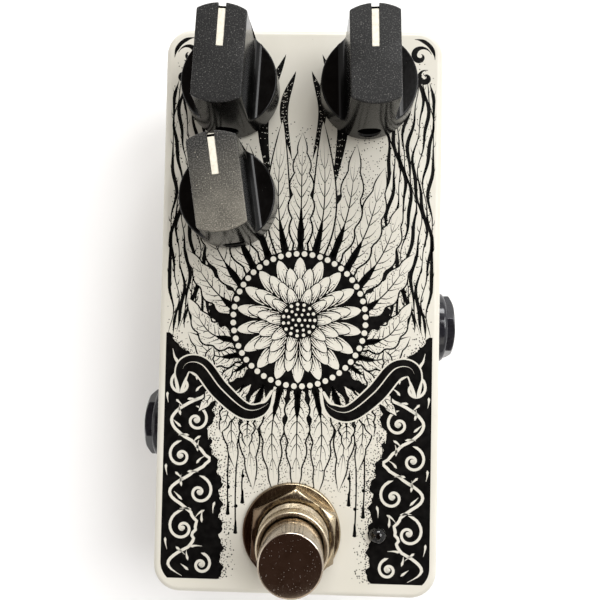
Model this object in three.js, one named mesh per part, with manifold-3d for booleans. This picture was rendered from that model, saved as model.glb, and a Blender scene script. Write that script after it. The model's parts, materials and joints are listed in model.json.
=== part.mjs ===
// Mini guitar effects pedal: a drafted die-cast box with three rotary controls, a latching
// footswitch, a status LED, two side jacks for 6.35 mm plugs and a barrel power inlet.
// Millimetres, +Z up. The origin is the centre of the underside of the base plate.
// +Y runs from the footswitch end to the control end, and +X is the input jack's side.

import * as THREE from 'three';
import { mergeVertices } from 'three/addons/utils/BufferGeometryUtils.js';
import Module from 'manifold-3d';

const wasm = await Module();
wasm.setup();

// ---------------------------------------------------------------- driving dimensions

const BOX = { width: 50, length: 100, height: 31, cornerRadius: 5, edgeRadius: 1.2 };
const BASE_THICKNESS = 2;
const WALL = 2;
const FACE_WALL = 2.2;
const DRAFT_PER_SIDE = 0.45;
const POST = { inset: 4.1, radius: 3.4, pilotRadius: 1.3, pilotDepth: 11 };

const FACE = BOX.height;
const CEILING = FACE - FACE_WALL;

// Places of the parts on the face, seen from above.
const CONTROLS = [
  { name: 'upper_left', x: -12.4, y: 37.9, turn: -2.8 },
  { name: 'upper_right', x: 11.1, y: 38.0, turn: 1.8 },
  { name: 'lower_left', x: -12.3, y: 18.5, turn: 8.5 },
];
const SWITCH = { x: -0.2, y: -38.5 };
const LED = {
  x: 14.25, y: -38.5, radius: 1.5, shoulder: 0.5, flangeRadius: 1.9, flangeTop: -3, bottom: -3.9,
  leadPitch: 2.54, leadHalf: 0.25,
};

// Knob, measured up from the face.
const KNOB = {
  gap: 0.6, baseRadius: 8.3, rimRadius: 8.07, rimHeight: 6, topRadius: 7.64, top: 16.6,
  barHalf: 3.84, edge: 0.35, fillet: 1.5, recessRadius: 6.6, recessTop: 2.4, boreTop: 10.6,
  screwHeight: 4, screwHoleRadius: 1.9, pointerWidth: 1.2, pointerStart: 0.9, pointerDepth: 0.45,
  pointerGap: 0.05, pointerFilm: 0.3,
};
const INSERT = { outer: 4.3, bore: 3.2, top: 6.3 };
const SET_SCREW = { radius: 1.5, start: 3.15, end: 6, socketAcrossFlats: 1.5, socketStart: 4.8 };

// Potentiometer, measured from the face.
const POT = {
  radius: 8, top: -FACE_WALL - 0.1, depth: 7, wall: 0.6, bushRadius: 3.45, bushTop: 2.2,
  shaftRadius: 3, shaftTop: 10, shaftChamfer: 0.5, rotorRadius: 6.2, rotorGap: 0.3,
  rotorThickness: 1.5, pinPitch: 5, pinReach: 9.6, pinHalf: 0.5, carrierHalf: 6.5,
  carrierThickness: 1.5, washerRadius: 5.6, washerTop: 0.45, nutAcrossFlats: 10, nutTop: 2.1,
};

// Footswitch, measured from the face.
const FOOT = {
  side: 17, cornerRadius: 0.8, bodyTop: -5.2, bodyBottom: -21.5, bushRadius: 5.95, bore: 5.15,
  bushTop: 8.2, buttonRadius: 5, buttonTop: 14.8, chamfer: 0.5, washerRadius: 8.45,
  washerHole: 6.55, washerShift: -0.35, washer: 0.9, nutAcrossFlats: 14, nut: 2.4, nutTurn: -2.5,
  lowerNutBottom: -4.8, flangeRadius: 5.4, flangeBottom: -8, hollowRadius: 3.1, hollowDepth: 9,
  cavityRadius: 5.7, cavityBottom: -18, spigotRadius: 2.2, spigotHeight: 3.5,
};
const LUG = {
  plateHalf: 7.6, plateThickness: 1, columnPitch: 5.3, rowPitch: 4.7, halfWidth: 1.1,
  halfThickness: 0.35,
};

// Jacks: axis height, place along the box, and distances out from the middle plane.
const JACK = {
  z: 15.5, inputY: -2.9, outputY: -22.8, front: 22.3, back: -3.4, halfWidth: 6.5, halfHeight: 7,
  bushRadius: 4.4, bore: 3.25, washerRadius: 6.8, washerIn: 24.95, washerOut: 25.75,
  collarOut: 27.9, collarEdge: 0.4, nutOut: 29.4, nutAcrossFlats: 11, nutTurn: 14,
  headRadius: 6, headThickness: 0.2,
};
// The hollow in the jack's moulding. Up is towards the face.
const JACK_SPACE = {
  up: 5.6, down: 3.8, half: 4.2, backWall: 1.4, frontWall: 1.5, slotHalf: 2.4, slotStart: 0,
  slotEnd: 17, slotBottom: 5, lugUp: 5, lugDown: 3, lugHalf: 1.2, lugLength: 2,
};

// Power inlet, distances along +Y.
const INLET = {
  z: 10, radius: 5.9, flangeRadius: 7, back: 36, flangeIn: 46, flangeOut: 47.4, mouth: 52.9,
  socketRadius: 3.1, socketBottom: 41, pinRadius: 1.05, pinTip: 48.3, nutIn: 50.05,
  nutOut: 52.4, nutAcrossFlats: 14, mouthChamfer: 0.4, tagPlace: 2.5, tagHalf: 0.9,
  tagHalfThickness: 0.3, tagLength: 2,
};

const BOARD = { bottom: 17, top: 18.6, halfWidth: 19.5, yMin: 7.5, yMax: 41 };
const SWITCH_BOARD = { bottom: 4.6, top: 5.8, xMin: -8.5, xMax: 16.2, yMin: -47, yMax: -29.4 };
const CHIP = {
  x: 10, y: 14.5, halfX: 4.8, halfY: 3.1, lift: 0.5, top: 3.8, legPitch: 2.54, legHalf: 0.35,
  legReach: 3.8, legTop: 2,
};
const CAPACITOR = { x: 3, y: 24.5, radius: 3.1, grooveDepth: 0.3, grooveHeight: 1.3, height: 7.3 };

// Clearance between pieces that sit in or on one another, round what passes through a hole,
// and under pieces that are soldered down. A cutter runs on by OVER past what it cuts.
const FIT = 0.12;
const HOLE_FIT = 0.2;
const SEAT = 0.05;
const OVER = 1;
const FINE = 24;
const ROUND = 20;
const SMALL = 12;
const TINY = 8;

const POT_HOLE = POT.bushRadius + HOLE_FIT;
const FOOT_HOLE = FOOT.bushRadius + FIT;

// ---------------------------------------------------------------- materials

function material(color, roughness, metalness) {
  return new THREE.MeshStandardMaterial({ color, roughness, metalness });
}

const paint = material(0xe2dccd, 0.45, 0.1);
const aluminium = material(0xb9bbbd, 0.45, 0.9);
const steel = material(0xa9a79f, 0.35, 1);
const nickel = material(0xb8ab90, 0.22, 1);
const brass = material(0xb08d4a, 0.35, 1);
const blackPlastic = material(0x17171a, 0.45, 0);
const whiteFill = material(0xf2ecdc, 0.6, 0);
const lens = material(0x3a3433, 0.1, 0);
const board = material(0x1f5c3a, 0.5, 0);
const insulation = material(0x2a2a2e, 0.5, 0);

// ---------------------------------------------------------------- solids

function signedVolume(points, corners) {
  let total = 0;
  const a = new THREE.Vector3();
  const b = new THREE.Vector3();
  const c = new THREE.Vector3();
  for (let i = 0; i < corners.length; i += 3) {
    a.fromArray(points, 3 * corners[i]);
    b.fromArray(points, 3 * corners[i + 1]);
    c.fromArray(points, 3 * corners[i + 2]);
    total += a.dot(b.cross(c)) / 6;
  }
  return total;
}

// A closed geometry as a solid, with its faces turned outward.
function solid(geometry) {
  geometry.deleteAttribute('normal');
  geometry.deleteAttribute('uv');
  const merged = mergeVertices(geometry, 1e-5);
  const points = merged.getAttribute('position').array;
  const index = merged.getIndex().array;
  const corners = [];
  for (let i = 0; i < index.length; i += 3) {
    const [a, b, c] = [index[i], index[i + 1], index[i + 2]];
    if (a !== b && b !== c && c !== a) corners.push(a, b, c);
  }
  if (signedVolume(points, corners) < 0) corners.reverse();
  const vertProperties = new Float32Array(points);
  const triVerts = new Uint32Array(corners);
  return new wasm.Manifold(new wasm.Mesh({ numProp: 3, vertProperties, triVerts }));
}

function geometryOf(shape) {
  const data = shape.getMesh();
  const geometry = new THREE.BufferGeometry();
  geometry.setAttribute('position', new THREE.BufferAttribute(data.vertProperties, 3));
  geometry.setIndex(new THREE.BufferAttribute(data.triVerts, 1));
  geometry.computeVertexNormals();
  return geometry;
}

function piece(parent, name, shape, look) {
  const mesh = new THREE.Mesh(geometryOf(shape), look);
  mesh.name = name;
  parent.add(mesh);
  return mesh;
}

function cutAll(shape, cutters) {
  return cutters.reduce((rest, cutter) => rest.subtract(cutter), shape);
}

function joinAll(shapes) {
  return shapes.reduce((whole, next) => whole.add(next));
}

// A prism of an outline between two heights.
function prism(outline, zLow, zHigh, curveSegments = ROUND) {
  const options = { depth: zHigh - zLow, bevelEnabled: false, curveSegments };
  return solid(new THREE.ExtrudeGeometry(outline, options).translate(0, 0, zLow));
}

function block(xLow, xHigh, yLow, yHigh, zLow, zHigh) {
  const geometry = new THREE.BoxGeometry(xHigh - xLow, yHigh - yLow, zHigh - zLow);
  geometry.translate((xLow + xHigh) / 2, (yLow + yHigh) / 2, (zLow + zHigh) / 2);
  return solid(geometry);
}

// A solid of revolution about Z, from [radius, height] pairs that run from axis to axis.
function turned(profile, segments = ROUND) {
  const points = profile.map(([radius, height]) => new THREE.Vector2(radius, height));
  return solid(new THREE.LatheGeometry(points, segments).rotateX(Math.PI / 2));
}

function rod(radius, zLow, zHigh, segments = ROUND) {
  return turned([[0, zLow], [radius, zLow], [radius, zHigh], [0, zHigh]], segments);
}

function ring(outer, inner, zLow, zHigh, segments = ROUND) {
  return rod(outer, zLow, zHigh, segments).subtract(rod(inner, zLow - OVER, zHigh + OVER, segments));
}

function roundedRectangle(halfX, halfY, radius) {
  const shape = new THREE.Shape();
  shape.absarc(halfX - radius, halfY - radius, radius, 0, Math.PI / 2);
  shape.absarc(radius - halfX, halfY - radius, radius, Math.PI / 2, Math.PI);
  shape.absarc(radius - halfX, radius - halfY, radius, Math.PI, 1.5 * Math.PI);
  shape.absarc(halfX - radius, radius - halfY, radius, 1.5 * Math.PI, 2 * Math.PI);
  return shape;
}

function hexagon(acrossFlats, turn = 0) {
  const radius = acrossFlats / Math.sqrt(3);
  const corners = [];
  for (let i = 0; i < 6; i += 1) {
    const angle = (i * Math.PI) / 3 + THREE.MathUtils.degToRad(turn);
    corners.push(new THREE.Vector2(radius * Math.cos(angle), radius * Math.sin(angle)));
  }
  return new THREE.Shape(corners);
}

// A hex nut with its chamfered corners.
function hexNut(acrossFlats, hole, zLow, zHigh, turn = 0) {
  const chamfer = acrossFlats * 0.03;
  const corner = acrossFlats * 0.545;
  const envelope = turned([
    [0, zLow - OVER], [corner + OVER, zLow - OVER], [corner + OVER, zHigh - chamfer - OVER],
    [corner, zHigh - chamfer], [corner - 2 * chamfer, zHigh], [0, zHigh],
  ]);
  const prismatic = prism(hexagon(acrossFlats, turn), zLow, zHigh);
  return prismatic.intersect(envelope).subtract(rod(hole, zLow - OVER, zHigh + OVER));
}

function turnedTo(shape, degreesAboutZ) {
  return shape.rotate([0, 0, degreesAboutZ]);
}

function outlineFrom(points) {
  return new THREE.Shape(points.map(([x, y]) => new THREE.Vector2(x, y)));
}

// A bent strip: a centre line in the first two coordinates, thickened, and extruded to a width.
function strip(centreLine, thickness, width, steps) {
  const flat = centreLine.map(([x, y]) => new THREE.Vector3(x, y, 0));
  const curve = new THREE.CatmullRomCurve3(flat, false, 'centripetal');
  const left = [];
  const right = [];
  for (let i = 0; i <= steps; i += 1) {
    const point = curve.getPointAt(i / steps);
    const along = curve.getTangentAt(i / steps);
    const [dx, dy] = [(-along.y * thickness) / 2, (along.x * thickness) / 2];
    left.push([point.x + dx, point.y + dy]);
    right.unshift([point.x - dx, point.y - dy]);
  }
  return prism(outlineFrom([...left, ...right]), -width / 2, width / 2);
}

// A round wire along a smooth curve. An arc is drawn with twice its number of curve segments.
function wire(points, radius, steps, sides = 8) {
  const path = new THREE.CatmullRomCurve3(points.map((p) => new THREE.Vector3(...p)));
  const section = new THREE.Shape();
  section.absarc(0, 0, radius, 0, 2 * Math.PI);
  const options = { steps, extrudePath: path, curveSegments: sides / 2 };
  return solid(new THREE.ExtrudeGeometry(section, options));
}

const object = new THREE.Group();

// ---------------------------------------------------------------- casing

const screwPlaces = [[1, 1], [-1, 1], [-1, -1], [1, -1]].map(([sx, sy]) => [
  sx * (BOX.width / 2 - POST.inset), sy * (BOX.length / 2 - POST.inset),
]);

// A rounded block whose walls lean in by the draft from the parting plane up to the face.
function drafted(halfX, halfY, radius, zLow, zHigh, edge) {
  const outline = roundedRectangle(halfX - edge, halfY - edge, radius - edge);
  const geometry = new THREE.ExtrudeGeometry(outline, {
    depth: zHigh - zLow - 2 * edge,
    bevelEnabled: edge > 0,
    bevelSize: edge,
    bevelThickness: edge,
    bevelSegments: 2,
    curveSegments: 3,
  });
  geometry.translate(0, 0, zLow + edge);
  const position = geometry.getAttribute('position');
  for (let i = 0; i < position.count; i += 1) {
    const lean = (DRAFT_PER_SIDE * (position.getZ(i) - BASE_THICKNESS)) / (FACE - BASE_THICKNESS);
    position.setX(i, position.getX(i) * (1 - lean / halfX));
    position.setY(i, position.getY(i) * (1 - lean / halfY));
  }
  return solid(geometry);
}

// The block and its hollow start below the parting plane and are trimmed to it.
const TRIM = 5;

function enclosureShell() {
  const [halfX, halfY] = [BOX.width / 2, BOX.length / 2];
  const outer = drafted(halfX, halfY, BOX.cornerRadius, -TRIM, FACE, BOX.edgeRadius);
  const low = -TRIM - OVER;
  const cavity = drafted(halfX - WALL, halfY - WALL, BOX.cornerRadius - WALL, low, CEILING, 0);
  const post = rod(POST.radius, low, CEILING + OVER, SMALL);
  const posts = screwPlaces.map(([x, y]) => post.translate(x, y, 0));
  const pilots = screwPlaces.map(([x, y]) => (
    rod(POST.pilotRadius, low, BASE_THICKNESS + POST.pilotDepth, TINY).translate(x, y, 0)));
  const below = block(-BOX.width, BOX.width, -BOX.length, BOX.length, 2 * low, BASE_THICKNESS);
  const faceHole = (radius, { x, y }, segments) => (
    rod(radius, CEILING - OVER, FACE + OVER, segments).translate(x, y, 0));
  const controlHoles = CONTROLS.map((control) => faceHole(POT_HOLE, control, SMALL));
  const wallHole = (radius, half) => rod(radius, half - 2 * WALL, half + WALL, SMALL);
  const jackHole = wallHole(JACK.bushRadius + HOLE_FIT, halfX).rotate([0, 90, 0]);
  const inletHole = wallHole(INLET.radius + HOLE_FIT, halfY).rotate([-90, 0, 0]);
  return cutAll(outer, [
    cutAll(cavity, posts), ...pilots, below, ...controlHoles,
    faceHole(FOOT.bushRadius + HOLE_FIT, SWITCH, ROUND), faceHole(LED.radius + HOLE_FIT, LED, SMALL),
    jackHole.translate(0, JACK.inputY, JACK.z), inletHole.translate(0, 0, INLET.z),
    jackHole.rotate([0, 0, 180]).translate(0, JACK.outputY, JACK.z),
  ]);
}

const SCREW = {
  headRadius: 2.7, headDepth: 1.5, shankRadius: 1.15, length: 10, sunk: 0.1, land: 0.15,
  slotReach: 1.5, slotHalf: 0.3, slotDepth: 0.9,
};

function basePlate() {
  const outline = roundedRectangle(BOX.width / 2, BOX.length / 2, BOX.cornerRadius);
  const plate = prism(outline, 0, BASE_THICKNESS, 3);
  const [head, shank] = [SCREW.headRadius + FIT, SCREW.shankRadius + HOLE_FIT];
  const seats = screwPlaces.map(([x, y]) => turned([
    [0, -OVER], [head, -OVER], [head, SCREW.sunk + SCREW.land],
    [shank, SCREW.sunk + SCREW.headDepth + FIT], [shank, BASE_THICKNESS + OVER],
    [0, BASE_THICKNESS + OVER],
  ], SMALL).translate(x, y, 0));
  return cutAll(plate, seats);
}

function baseScrew() {
  const body = turned([
    [0, SCREW.sunk], [SCREW.headRadius, SCREW.sunk], [SCREW.headRadius, SCREW.sunk + SCREW.land],
    [SCREW.shankRadius, SCREW.sunk + SCREW.headDepth], [SCREW.shankRadius, SCREW.length - 1],
    [0, SCREW.length],
  ], SMALL);
  const slot = (angle) => turnedTo(block(
    -SCREW.slotReach, SCREW.slotReach, -SCREW.slotHalf, SCREW.slotHalf, 0, SCREW.slotDepth), angle);
  return cutAll(body, [slot(45), slot(135)]);
}

piece(object, 'enclosure_shell', enclosureShell(), paint);
piece(object, 'base_plate', basePlate(), aluminium);
screwPlaces.forEach(([x, y], i) => {
  piece(object, `base_screw_${i + 1}`, baseScrew(), steel).position.set(x, y, 0);
});

// ---------------------------------------------------------------- knobs and potentiometers

function knobBody() {
  const body = turned([
    [0, KNOB.gap], [KNOB.baseRadius, KNOB.gap], [KNOB.rimRadius, KNOB.rimHeight],
    [KNOB.topRadius, KNOB.top - KNOB.edge], [KNOB.topRadius - KNOB.edge, KNOB.top], [0, KNOB.top],
  ], FINE);
  const [out, up] = [KNOB.baseRadius + OVER, KNOB.top + OVER];
  const [foldX, foldY] = [KNOB.barHalf + KNOB.fillet, KNOB.rimHeight + KNOB.fillet];
  const side = new THREE.Shape();
  side.moveTo(KNOB.barHalf, up);
  side.absarc(foldX, foldY, KNOB.fillet, Math.PI, 1.5 * Math.PI);
  side.lineTo(out, KNOB.rimHeight);
  side.lineTo(out, up);
  const scoop = prism(side, -out, out, 3).rotate([90, 0, 0]);
  const recess = rod(KNOB.recessRadius, 0, KNOB.recessTop);
  const insertSeat = rod(INSERT.outer + FIT, KNOB.recessTop - OVER, INSERT.top + FIT);
  const bore = rod(POT.shaftRadius + HOLE_FIT, KNOB.recessTop - OVER, KNOB.boreTop);
  const screwHole = rod(KNOB.screwHoleRadius, POT.shaftRadius + 0.5, out, SMALL).rotate([90, 0, 0]);
  const half = KNOB.pointerWidth / 2;
  const groove = block(-half, half, KNOB.pointerStart, out, KNOB.top - KNOB.pointerDepth, up);
  const endGroove = block(-half, half, KNOB.topRadius - KNOB.pointerDepth, out, KNOB.rimHeight + 1, up);
  return cutAll(body, [
    scoop, scoop.rotate([0, 0, 180]), recess, insertSeat, bore,
    screwHole.translate(0, 0, KNOB.screwHeight), groove, endGroove,
  ]);
}

// The white filling of the groove, along the top of the bar and down its end.
function knobPointer() {
  const { pointerGap: gap, pointerFilm: film } = KNOB;
  const low = KNOB.top - KNOB.pointerDepth + gap;
  const end = KNOB.topRadius - KNOB.pointerDepth + gap;
  const foot = KNOB.rimHeight + 1 + gap;
  const outline = outlineFrom([
    [KNOB.pointerStart + gap, low], [end, low], [end, foot], [end + film, foot],
    [end + film, low + film], [KNOB.pointerStart + gap, low + film],
  ]);
  const half = KNOB.pointerWidth / 2 - gap;
  return prism(outline, -half, half).rotate([90, 0, 90]);
}

function knobInsert() {
  const sleeve = ring(INSERT.outer, INSERT.bore, KNOB.recessTop + SEAT, INSERT.top, ROUND);
  const hole = rod(SET_SCREW.radius + HOLE_FIT, INSERT.bore - OVER, SET_SCREW.end, TINY);
  return sleeve.subtract(hole.rotate([90, 0, 0]).translate(0, 0, KNOB.screwHeight));
}

function setScrew() {
  const body = rod(SET_SCREW.radius, SET_SCREW.start, SET_SCREW.end, TINY);
  const key = hexagon(SET_SCREW.socketAcrossFlats);
  const socket = prism(key, SET_SCREW.socketStart, SET_SCREW.end + OVER);
  return body.subtract(socket).rotate([90, 0, 0]).translate(0, 0, KNOB.screwHeight);
}

function potHousing() {
  const bottom = POT.top - POT.depth;
  const can = rod(POT.radius, bottom, POT.top);
  const bush = rod(POT.bushRadius, POT.top - POT.wall, POT.bushTop, SMALL);
  const cavity = rod(POT.radius - POT.wall, bottom + POT.wall, POT.top - POT.wall);
  const bore = rod(POT.shaftRadius + 0.15, POT.top - OVER, POT.bushTop + OVER, SMALL);
  const carrier = block(-POT.carrierHalf, POT.carrierHalf, -POT.pinReach - 0.6, -POT.radius + 2,
    bottom + POT.pinHalf, bottom + POT.pinHalf + POT.carrierThickness);
  const trimmed = carrier.subtract(rod(POT.radius - POT.wall / 2, bottom - OVER, POT.top));
  const legs = [-1, 0, 1].map((i) => block(
    i * POT.pinPitch - POT.pinHalf, i * POT.pinPitch + POT.pinHalf, -POT.pinReach - 0.4,
    -POT.pinReach + 0.3, BOARD.top + SEAT - FACE, bottom + 1));
  return joinAll([can, bush, trimmed, ...legs]).subtract(cavity).subtract(bore);
}

function potShaft() {
  const bottom = POT.top - POT.depth + POT.wall + POT.rotorGap;
  const rotorTop = bottom + POT.rotorThickness;
  return turned([
    [0, bottom], [POT.rotorRadius, bottom], [POT.rotorRadius, rotorTop],
    [POT.shaftRadius, rotorTop], [POT.shaftRadius, POT.shaftTop - POT.shaftChamfer],
    [POT.shaftRadius - POT.shaftChamfer, POT.shaftTop], [0, POT.shaftTop],
  ], SMALL);
}

for (const { name, x, y, turn } of CONTROLS) {
  const place = new THREE.Group();
  place.position.set(x, y, FACE);
  object.add(place);
  piece(place, `pot_${name}_housing`, potHousing(), steel);
  const washer = ring(POT.washerRadius, POT_HOLE, SEAT, POT.washerTop, SMALL);
  piece(place, `pot_${name}_washer`, washer, steel);
  const nut = hexNut(POT.nutAcrossFlats, POT_HOLE, POT.washerTop + SEAT, POT.nutTop);
  piece(place, `pot_${name}_nut`, nut, nickel);
  const dial = new THREE.Group();
  dial.rotation.z = THREE.MathUtils.degToRad(turn);
  place.add(dial);
  piece(dial, `pot_${name}_shaft`, potShaft(), aluminium);
  piece(dial, `knob_${name}`, knobBody(), blackPlastic);
  piece(dial, `knob_${name}_pointer`, knobPointer(), whiteFill);
  piece(dial, `knob_${name}_insert`, knobInsert(), brass);
  piece(dial, `knob_${name}_set_screw`, setScrew(), steel);
}

// ---------------------------------------------------------------- footswitch

function footBody() {
  const half = FOOT.side / 2;
  const outline = roundedRectangle(half, half, FOOT.cornerRadius);
  const shell = prism(outline, FOOT.bodyBottom, FOOT.bodyTop, 2);
  const well = rod(FOOT.cavityRadius, FOOT.cavityBottom, FOOT.bodyTop + OVER);
  const spigotTop = FOOT.cavityBottom + FOOT.spigotHeight;
  const spigot = rod(FOOT.spigotRadius, FOOT.cavityBottom - FIT, spigotTop, SMALL);
  return shell.subtract(well).add(spigot);
}

function footTerminals() {
  const top = FOOT.bodyBottom - SEAT;
  const half = LUG.plateHalf;
  const plate = block(-half, half, -half, half, top - LUG.plateThickness, top);
  const bottom = SWITCH_BOARD.top + SEAT - FACE;
  const lugs = [];
  for (const column of [-1, 0, 1]) {
    for (const row of [-1, 0, 1]) {
      const lug = block(-LUG.halfWidth, LUG.halfWidth, -LUG.halfThickness, LUG.halfThickness,
        bottom, top - LUG.plateThickness / 2);
      lugs.push(lug.translate(column * LUG.columnPitch, row * LUG.rowPitch, 0));
    }
  }
  return joinAll([plate, ...lugs]);
}

function footBushing() {
  const body = turned([
    [0, FOOT.bodyTop + SEAT], [FOOT.bushRadius, FOOT.bodyTop + SEAT],
    [FOOT.bushRadius, FOOT.bushTop - FOOT.chamfer], [FOOT.bushRadius - FOOT.chamfer, FOOT.bushTop],
    [0, FOOT.bushTop],
  ], FINE);
  return body.subtract(rod(FOOT.bore, FOOT.bodyTop - OVER, FOOT.bushTop + OVER, FINE));
}

function footButton() {
  const flangeTop = FOOT.bodyTop - 0.3;
  const body = turned([
    [0, FOOT.flangeBottom], [FOOT.flangeRadius, FOOT.flangeBottom], [FOOT.flangeRadius, flangeTop],
    [FOOT.buttonRadius, flangeTop], [FOOT.buttonRadius, FOOT.buttonTop - FOOT.chamfer],
    [FOOT.buttonRadius - FOOT.chamfer, FOOT.buttonTop], [0, FOOT.buttonTop],
  ], FINE);
  const hollowTop = FOOT.flangeBottom + FOOT.hollowDepth;
  return body.subtract(rod(FOOT.hollowRadius, FOOT.flangeBottom - OVER, hollowTop, SMALL));
}

const SPRING = { radius: 4.4, wire: 0.45, turns: 5, stepsPerTurn: 10, endGap: 0.1 };

function footSpring() {
  const low = FOOT.cavityBottom + SPRING.wire + SPRING.endGap;
  const high = FOOT.flangeBottom - SPRING.wire - SPRING.endGap;
  const steps = SPRING.turns * SPRING.stepsPerTurn;
  const points = [];
  for (let i = 0; i <= steps; i += 1) {
    const angle = (i / SPRING.stepsPerTurn) * 2 * Math.PI;
    const height = THREE.MathUtils.lerp(low, high, i / steps);
    points.push([SPRING.radius * Math.cos(angle), SPRING.radius * Math.sin(angle), height]);
  }
  return wire(points, SPRING.wire, steps, 6);
}

function footWasher() {
  const washer = ring(FOOT.washerRadius, FOOT.washerHole, SEAT, FOOT.washer, FINE);
  return washer.translate(FOOT.washerShift, 0, 0);
}

function footNut() {
  const low = FOOT.washer + SEAT;
  return hexNut(FOOT.nutAcrossFlats, FOOT_HOLE, low, FOOT.washer + FOOT.nut, 30 + FOOT.nutTurn);
}

function footLowerNut() {
  const low = FOOT.lowerNutBottom;
  return hexNut(FOOT.nutAcrossFlats, FOOT_HOLE, low, low + FOOT.nut);
}

const foot = new THREE.Group();
foot.position.set(SWITCH.x, SWITCH.y, FACE);
object.add(foot);
piece(foot, 'footswitch_body', footBody(), blackPlastic);
piece(foot, 'footswitch_terminals', footTerminals(), steel);
piece(foot, 'footswitch_bushing', footBushing(), nickel);
piece(foot, 'footswitch_lower_nut', footLowerNut(), steel);
piece(foot, 'footswitch_washer', footWasher(), nickel);
piece(foot, 'footswitch_nut', footNut(), nickel);
piece(foot, 'footswitch_button', footButton(), nickel);
piece(foot, 'footswitch_spring', footSpring(), steel);

// ---------------------------------------------------------------- status LED

function statusLed() {
  const dome = [];
  const steps = 5;
  for (let i = 0; i < steps; i += 1) {
    const angle = (i / steps) * (Math.PI / 2);
    dome.push([LED.radius * Math.cos(angle), LED.shoulder + LED.radius * Math.sin(angle)]);
  }
  const body = turned([
    [0, LED.bottom], [LED.flangeRadius, LED.bottom], [LED.flangeRadius, LED.flangeTop],
    [LED.radius, LED.flangeTop], ...dome, [0, LED.shoulder + LED.radius],
  ], SMALL);
  const low = SWITCH_BOARD.top + SEAT - FACE;
  const lead = block(-LED.leadHalf, LED.leadHalf, -LED.leadHalf, LED.leadHalf, low, LED.bottom + 0.4);
  const leads = [-0.5, 0.5].map((place) => lead.translate(place * LED.leadPitch, 0, 0));
  return joinAll([body, ...leads]);
}

piece(object, 'status_led', statusLed(), lens).position.set(LED.x, LED.y, FACE);

// ---------------------------------------------------------------- jacks

// Built along +Z outward from the middle plane of the box, with -X towards the face.
function jackHousing() {
  const { halfHeight, halfWidth, back, front } = JACK;
  const space = JACK_SPACE;
  const outer = block(-halfHeight, halfHeight, -halfWidth, halfWidth, back, front);
  const channel = block(-space.up, space.down, -space.half, space.half,
    back + space.backWall, front - space.frontWall);
  const mouth = rod(JACK.bore + FIT, front - 2 * space.frontWall, front + OVER, SMALL);
  const slot = block(-halfHeight - OVER, -space.slotBottom, -space.slotHalf, space.slotHalf,
    space.slotStart, space.slotEnd);
  const lug = block(-space.lugUp, -space.lugDown, -space.lugHalf, space.lugHalf,
    back - space.lugLength, back + space.backWall / 2);
  return cutAll(outer, [channel, mouth, slot]).add(lug);
}

function jackBushing() {
  const head = JACK.front + SEAT + JACK.headThickness;
  const sleeve = turned([
    [0, JACK.front + SEAT], [JACK.headRadius, JACK.front + SEAT], [JACK.headRadius, head],
    [JACK.bushRadius, head], [JACK.bushRadius, JACK.nutOut - 0.5],
    [JACK.bushRadius - 0.3, JACK.nutOut - 0.2], [0, JACK.nutOut - 0.2],
  ]);
  return sleeve.subtract(rod(JACK.bore, JACK.front - OVER, JACK.nutOut + OVER, SMALL));
}

function jackNut() {
  const hole = JACK.bushRadius + FIT;
  const low = JACK.washerOut + SEAT;
  const collar = turned([
    [0, low], [JACK.washerRadius, low], [JACK.washerRadius, JACK.collarOut - JACK.collarEdge],
    [JACK.washerRadius - JACK.collarEdge, JACK.collarOut], [0, JACK.collarOut],
  ]);
  const hexLow = JACK.collarOut - JACK.collarEdge;
  const hex = hexNut(JACK.nutAcrossFlats, hole, hexLow, JACK.nutOut, 30 + JACK.nutTurn);
  return collar.subtract(rod(hole, low - OVER, JACK.nutOut)).add(hex);
}

// The leaf is rooted near the front and dips towards the plug's tip groove.
const CONTACT = { rootZ: 18.5, rootUp: 5.2, thickness: 0.4, width: 3.6 };

function jackTipContact() {
  const leaf = [
    [CONTACT.rootUp, CONTACT.rootZ], [4.9, 12], [4.3, 5.5], [2.9, 2.2], [2.9, 1.4], [4.2, 0.2],
  ];
  const centreLine = leaf.map(([up, z]) => [-up, z]);
  return strip(centreLine, CONTACT.thickness, CONTACT.width, 12).rotate([90, 0, 0]);
}

for (const { name, y, flip } of [
  { name: 'input', y: JACK.inputY, flip: 0 },
  { name: 'output', y: JACK.outputY, flip: Math.PI },
]) {
  const side = new THREE.Group();
  side.position.set(0, y, JACK.z);
  side.rotation.z = flip;
  object.add(side);
  const jack = new THREE.Group();
  jack.rotation.y = Math.PI / 2;
  side.add(jack);
  piece(jack, `${name}_jack_housing`, jackHousing(), blackPlastic);
  piece(jack, `${name}_jack_bushing`, jackBushing(), nickel);
  const washer = ring(JACK.washerRadius, JACK.bushRadius + FIT, JACK.washerIn, JACK.washerOut);
  piece(jack, `${name}_jack_washer`, washer, blackPlastic);
  piece(jack, `${name}_jack_nut`, jackNut(), blackPlastic);
  piece(jack, `${name}_jack_tip_contact`, jackTipContact(), brass);
}

// ---------------------------------------------------------------- power inlet

// Built along +Z, which is turned to face out of the control end.
function inletHousing() {
  const body = turned([
    [0, INLET.back], [INLET.radius, INLET.back], [INLET.radius, INLET.flangeIn],
    [INLET.flangeRadius, INLET.flangeIn], [INLET.flangeRadius, INLET.flangeOut],
    [INLET.radius, INLET.flangeOut], [INLET.radius, INLET.mouth - INLET.mouthChamfer],
    [INLET.radius - INLET.mouthChamfer, INLET.mouth], [0, INLET.mouth],
  ]);
  const socket = rod(INLET.socketRadius, INLET.socketBottom, INLET.mouth + OVER, SMALL);
  const pinSeat = rod(INLET.pinRadius + FIT, INLET.socketBottom - 2.1, INLET.mouth, TINY);
  const tag = block(-INLET.tagHalf, INLET.tagHalf, -INLET.tagHalfThickness, INLET.tagHalfThickness,
    INLET.back - INLET.tagLength, INLET.back + OVER);
  const tags = [-1, 1].map((side) => tag.translate(side * INLET.tagPlace, 0, 0));
  return joinAll([cutAll(body, [socket, pinSeat]), ...tags]);
}

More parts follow.
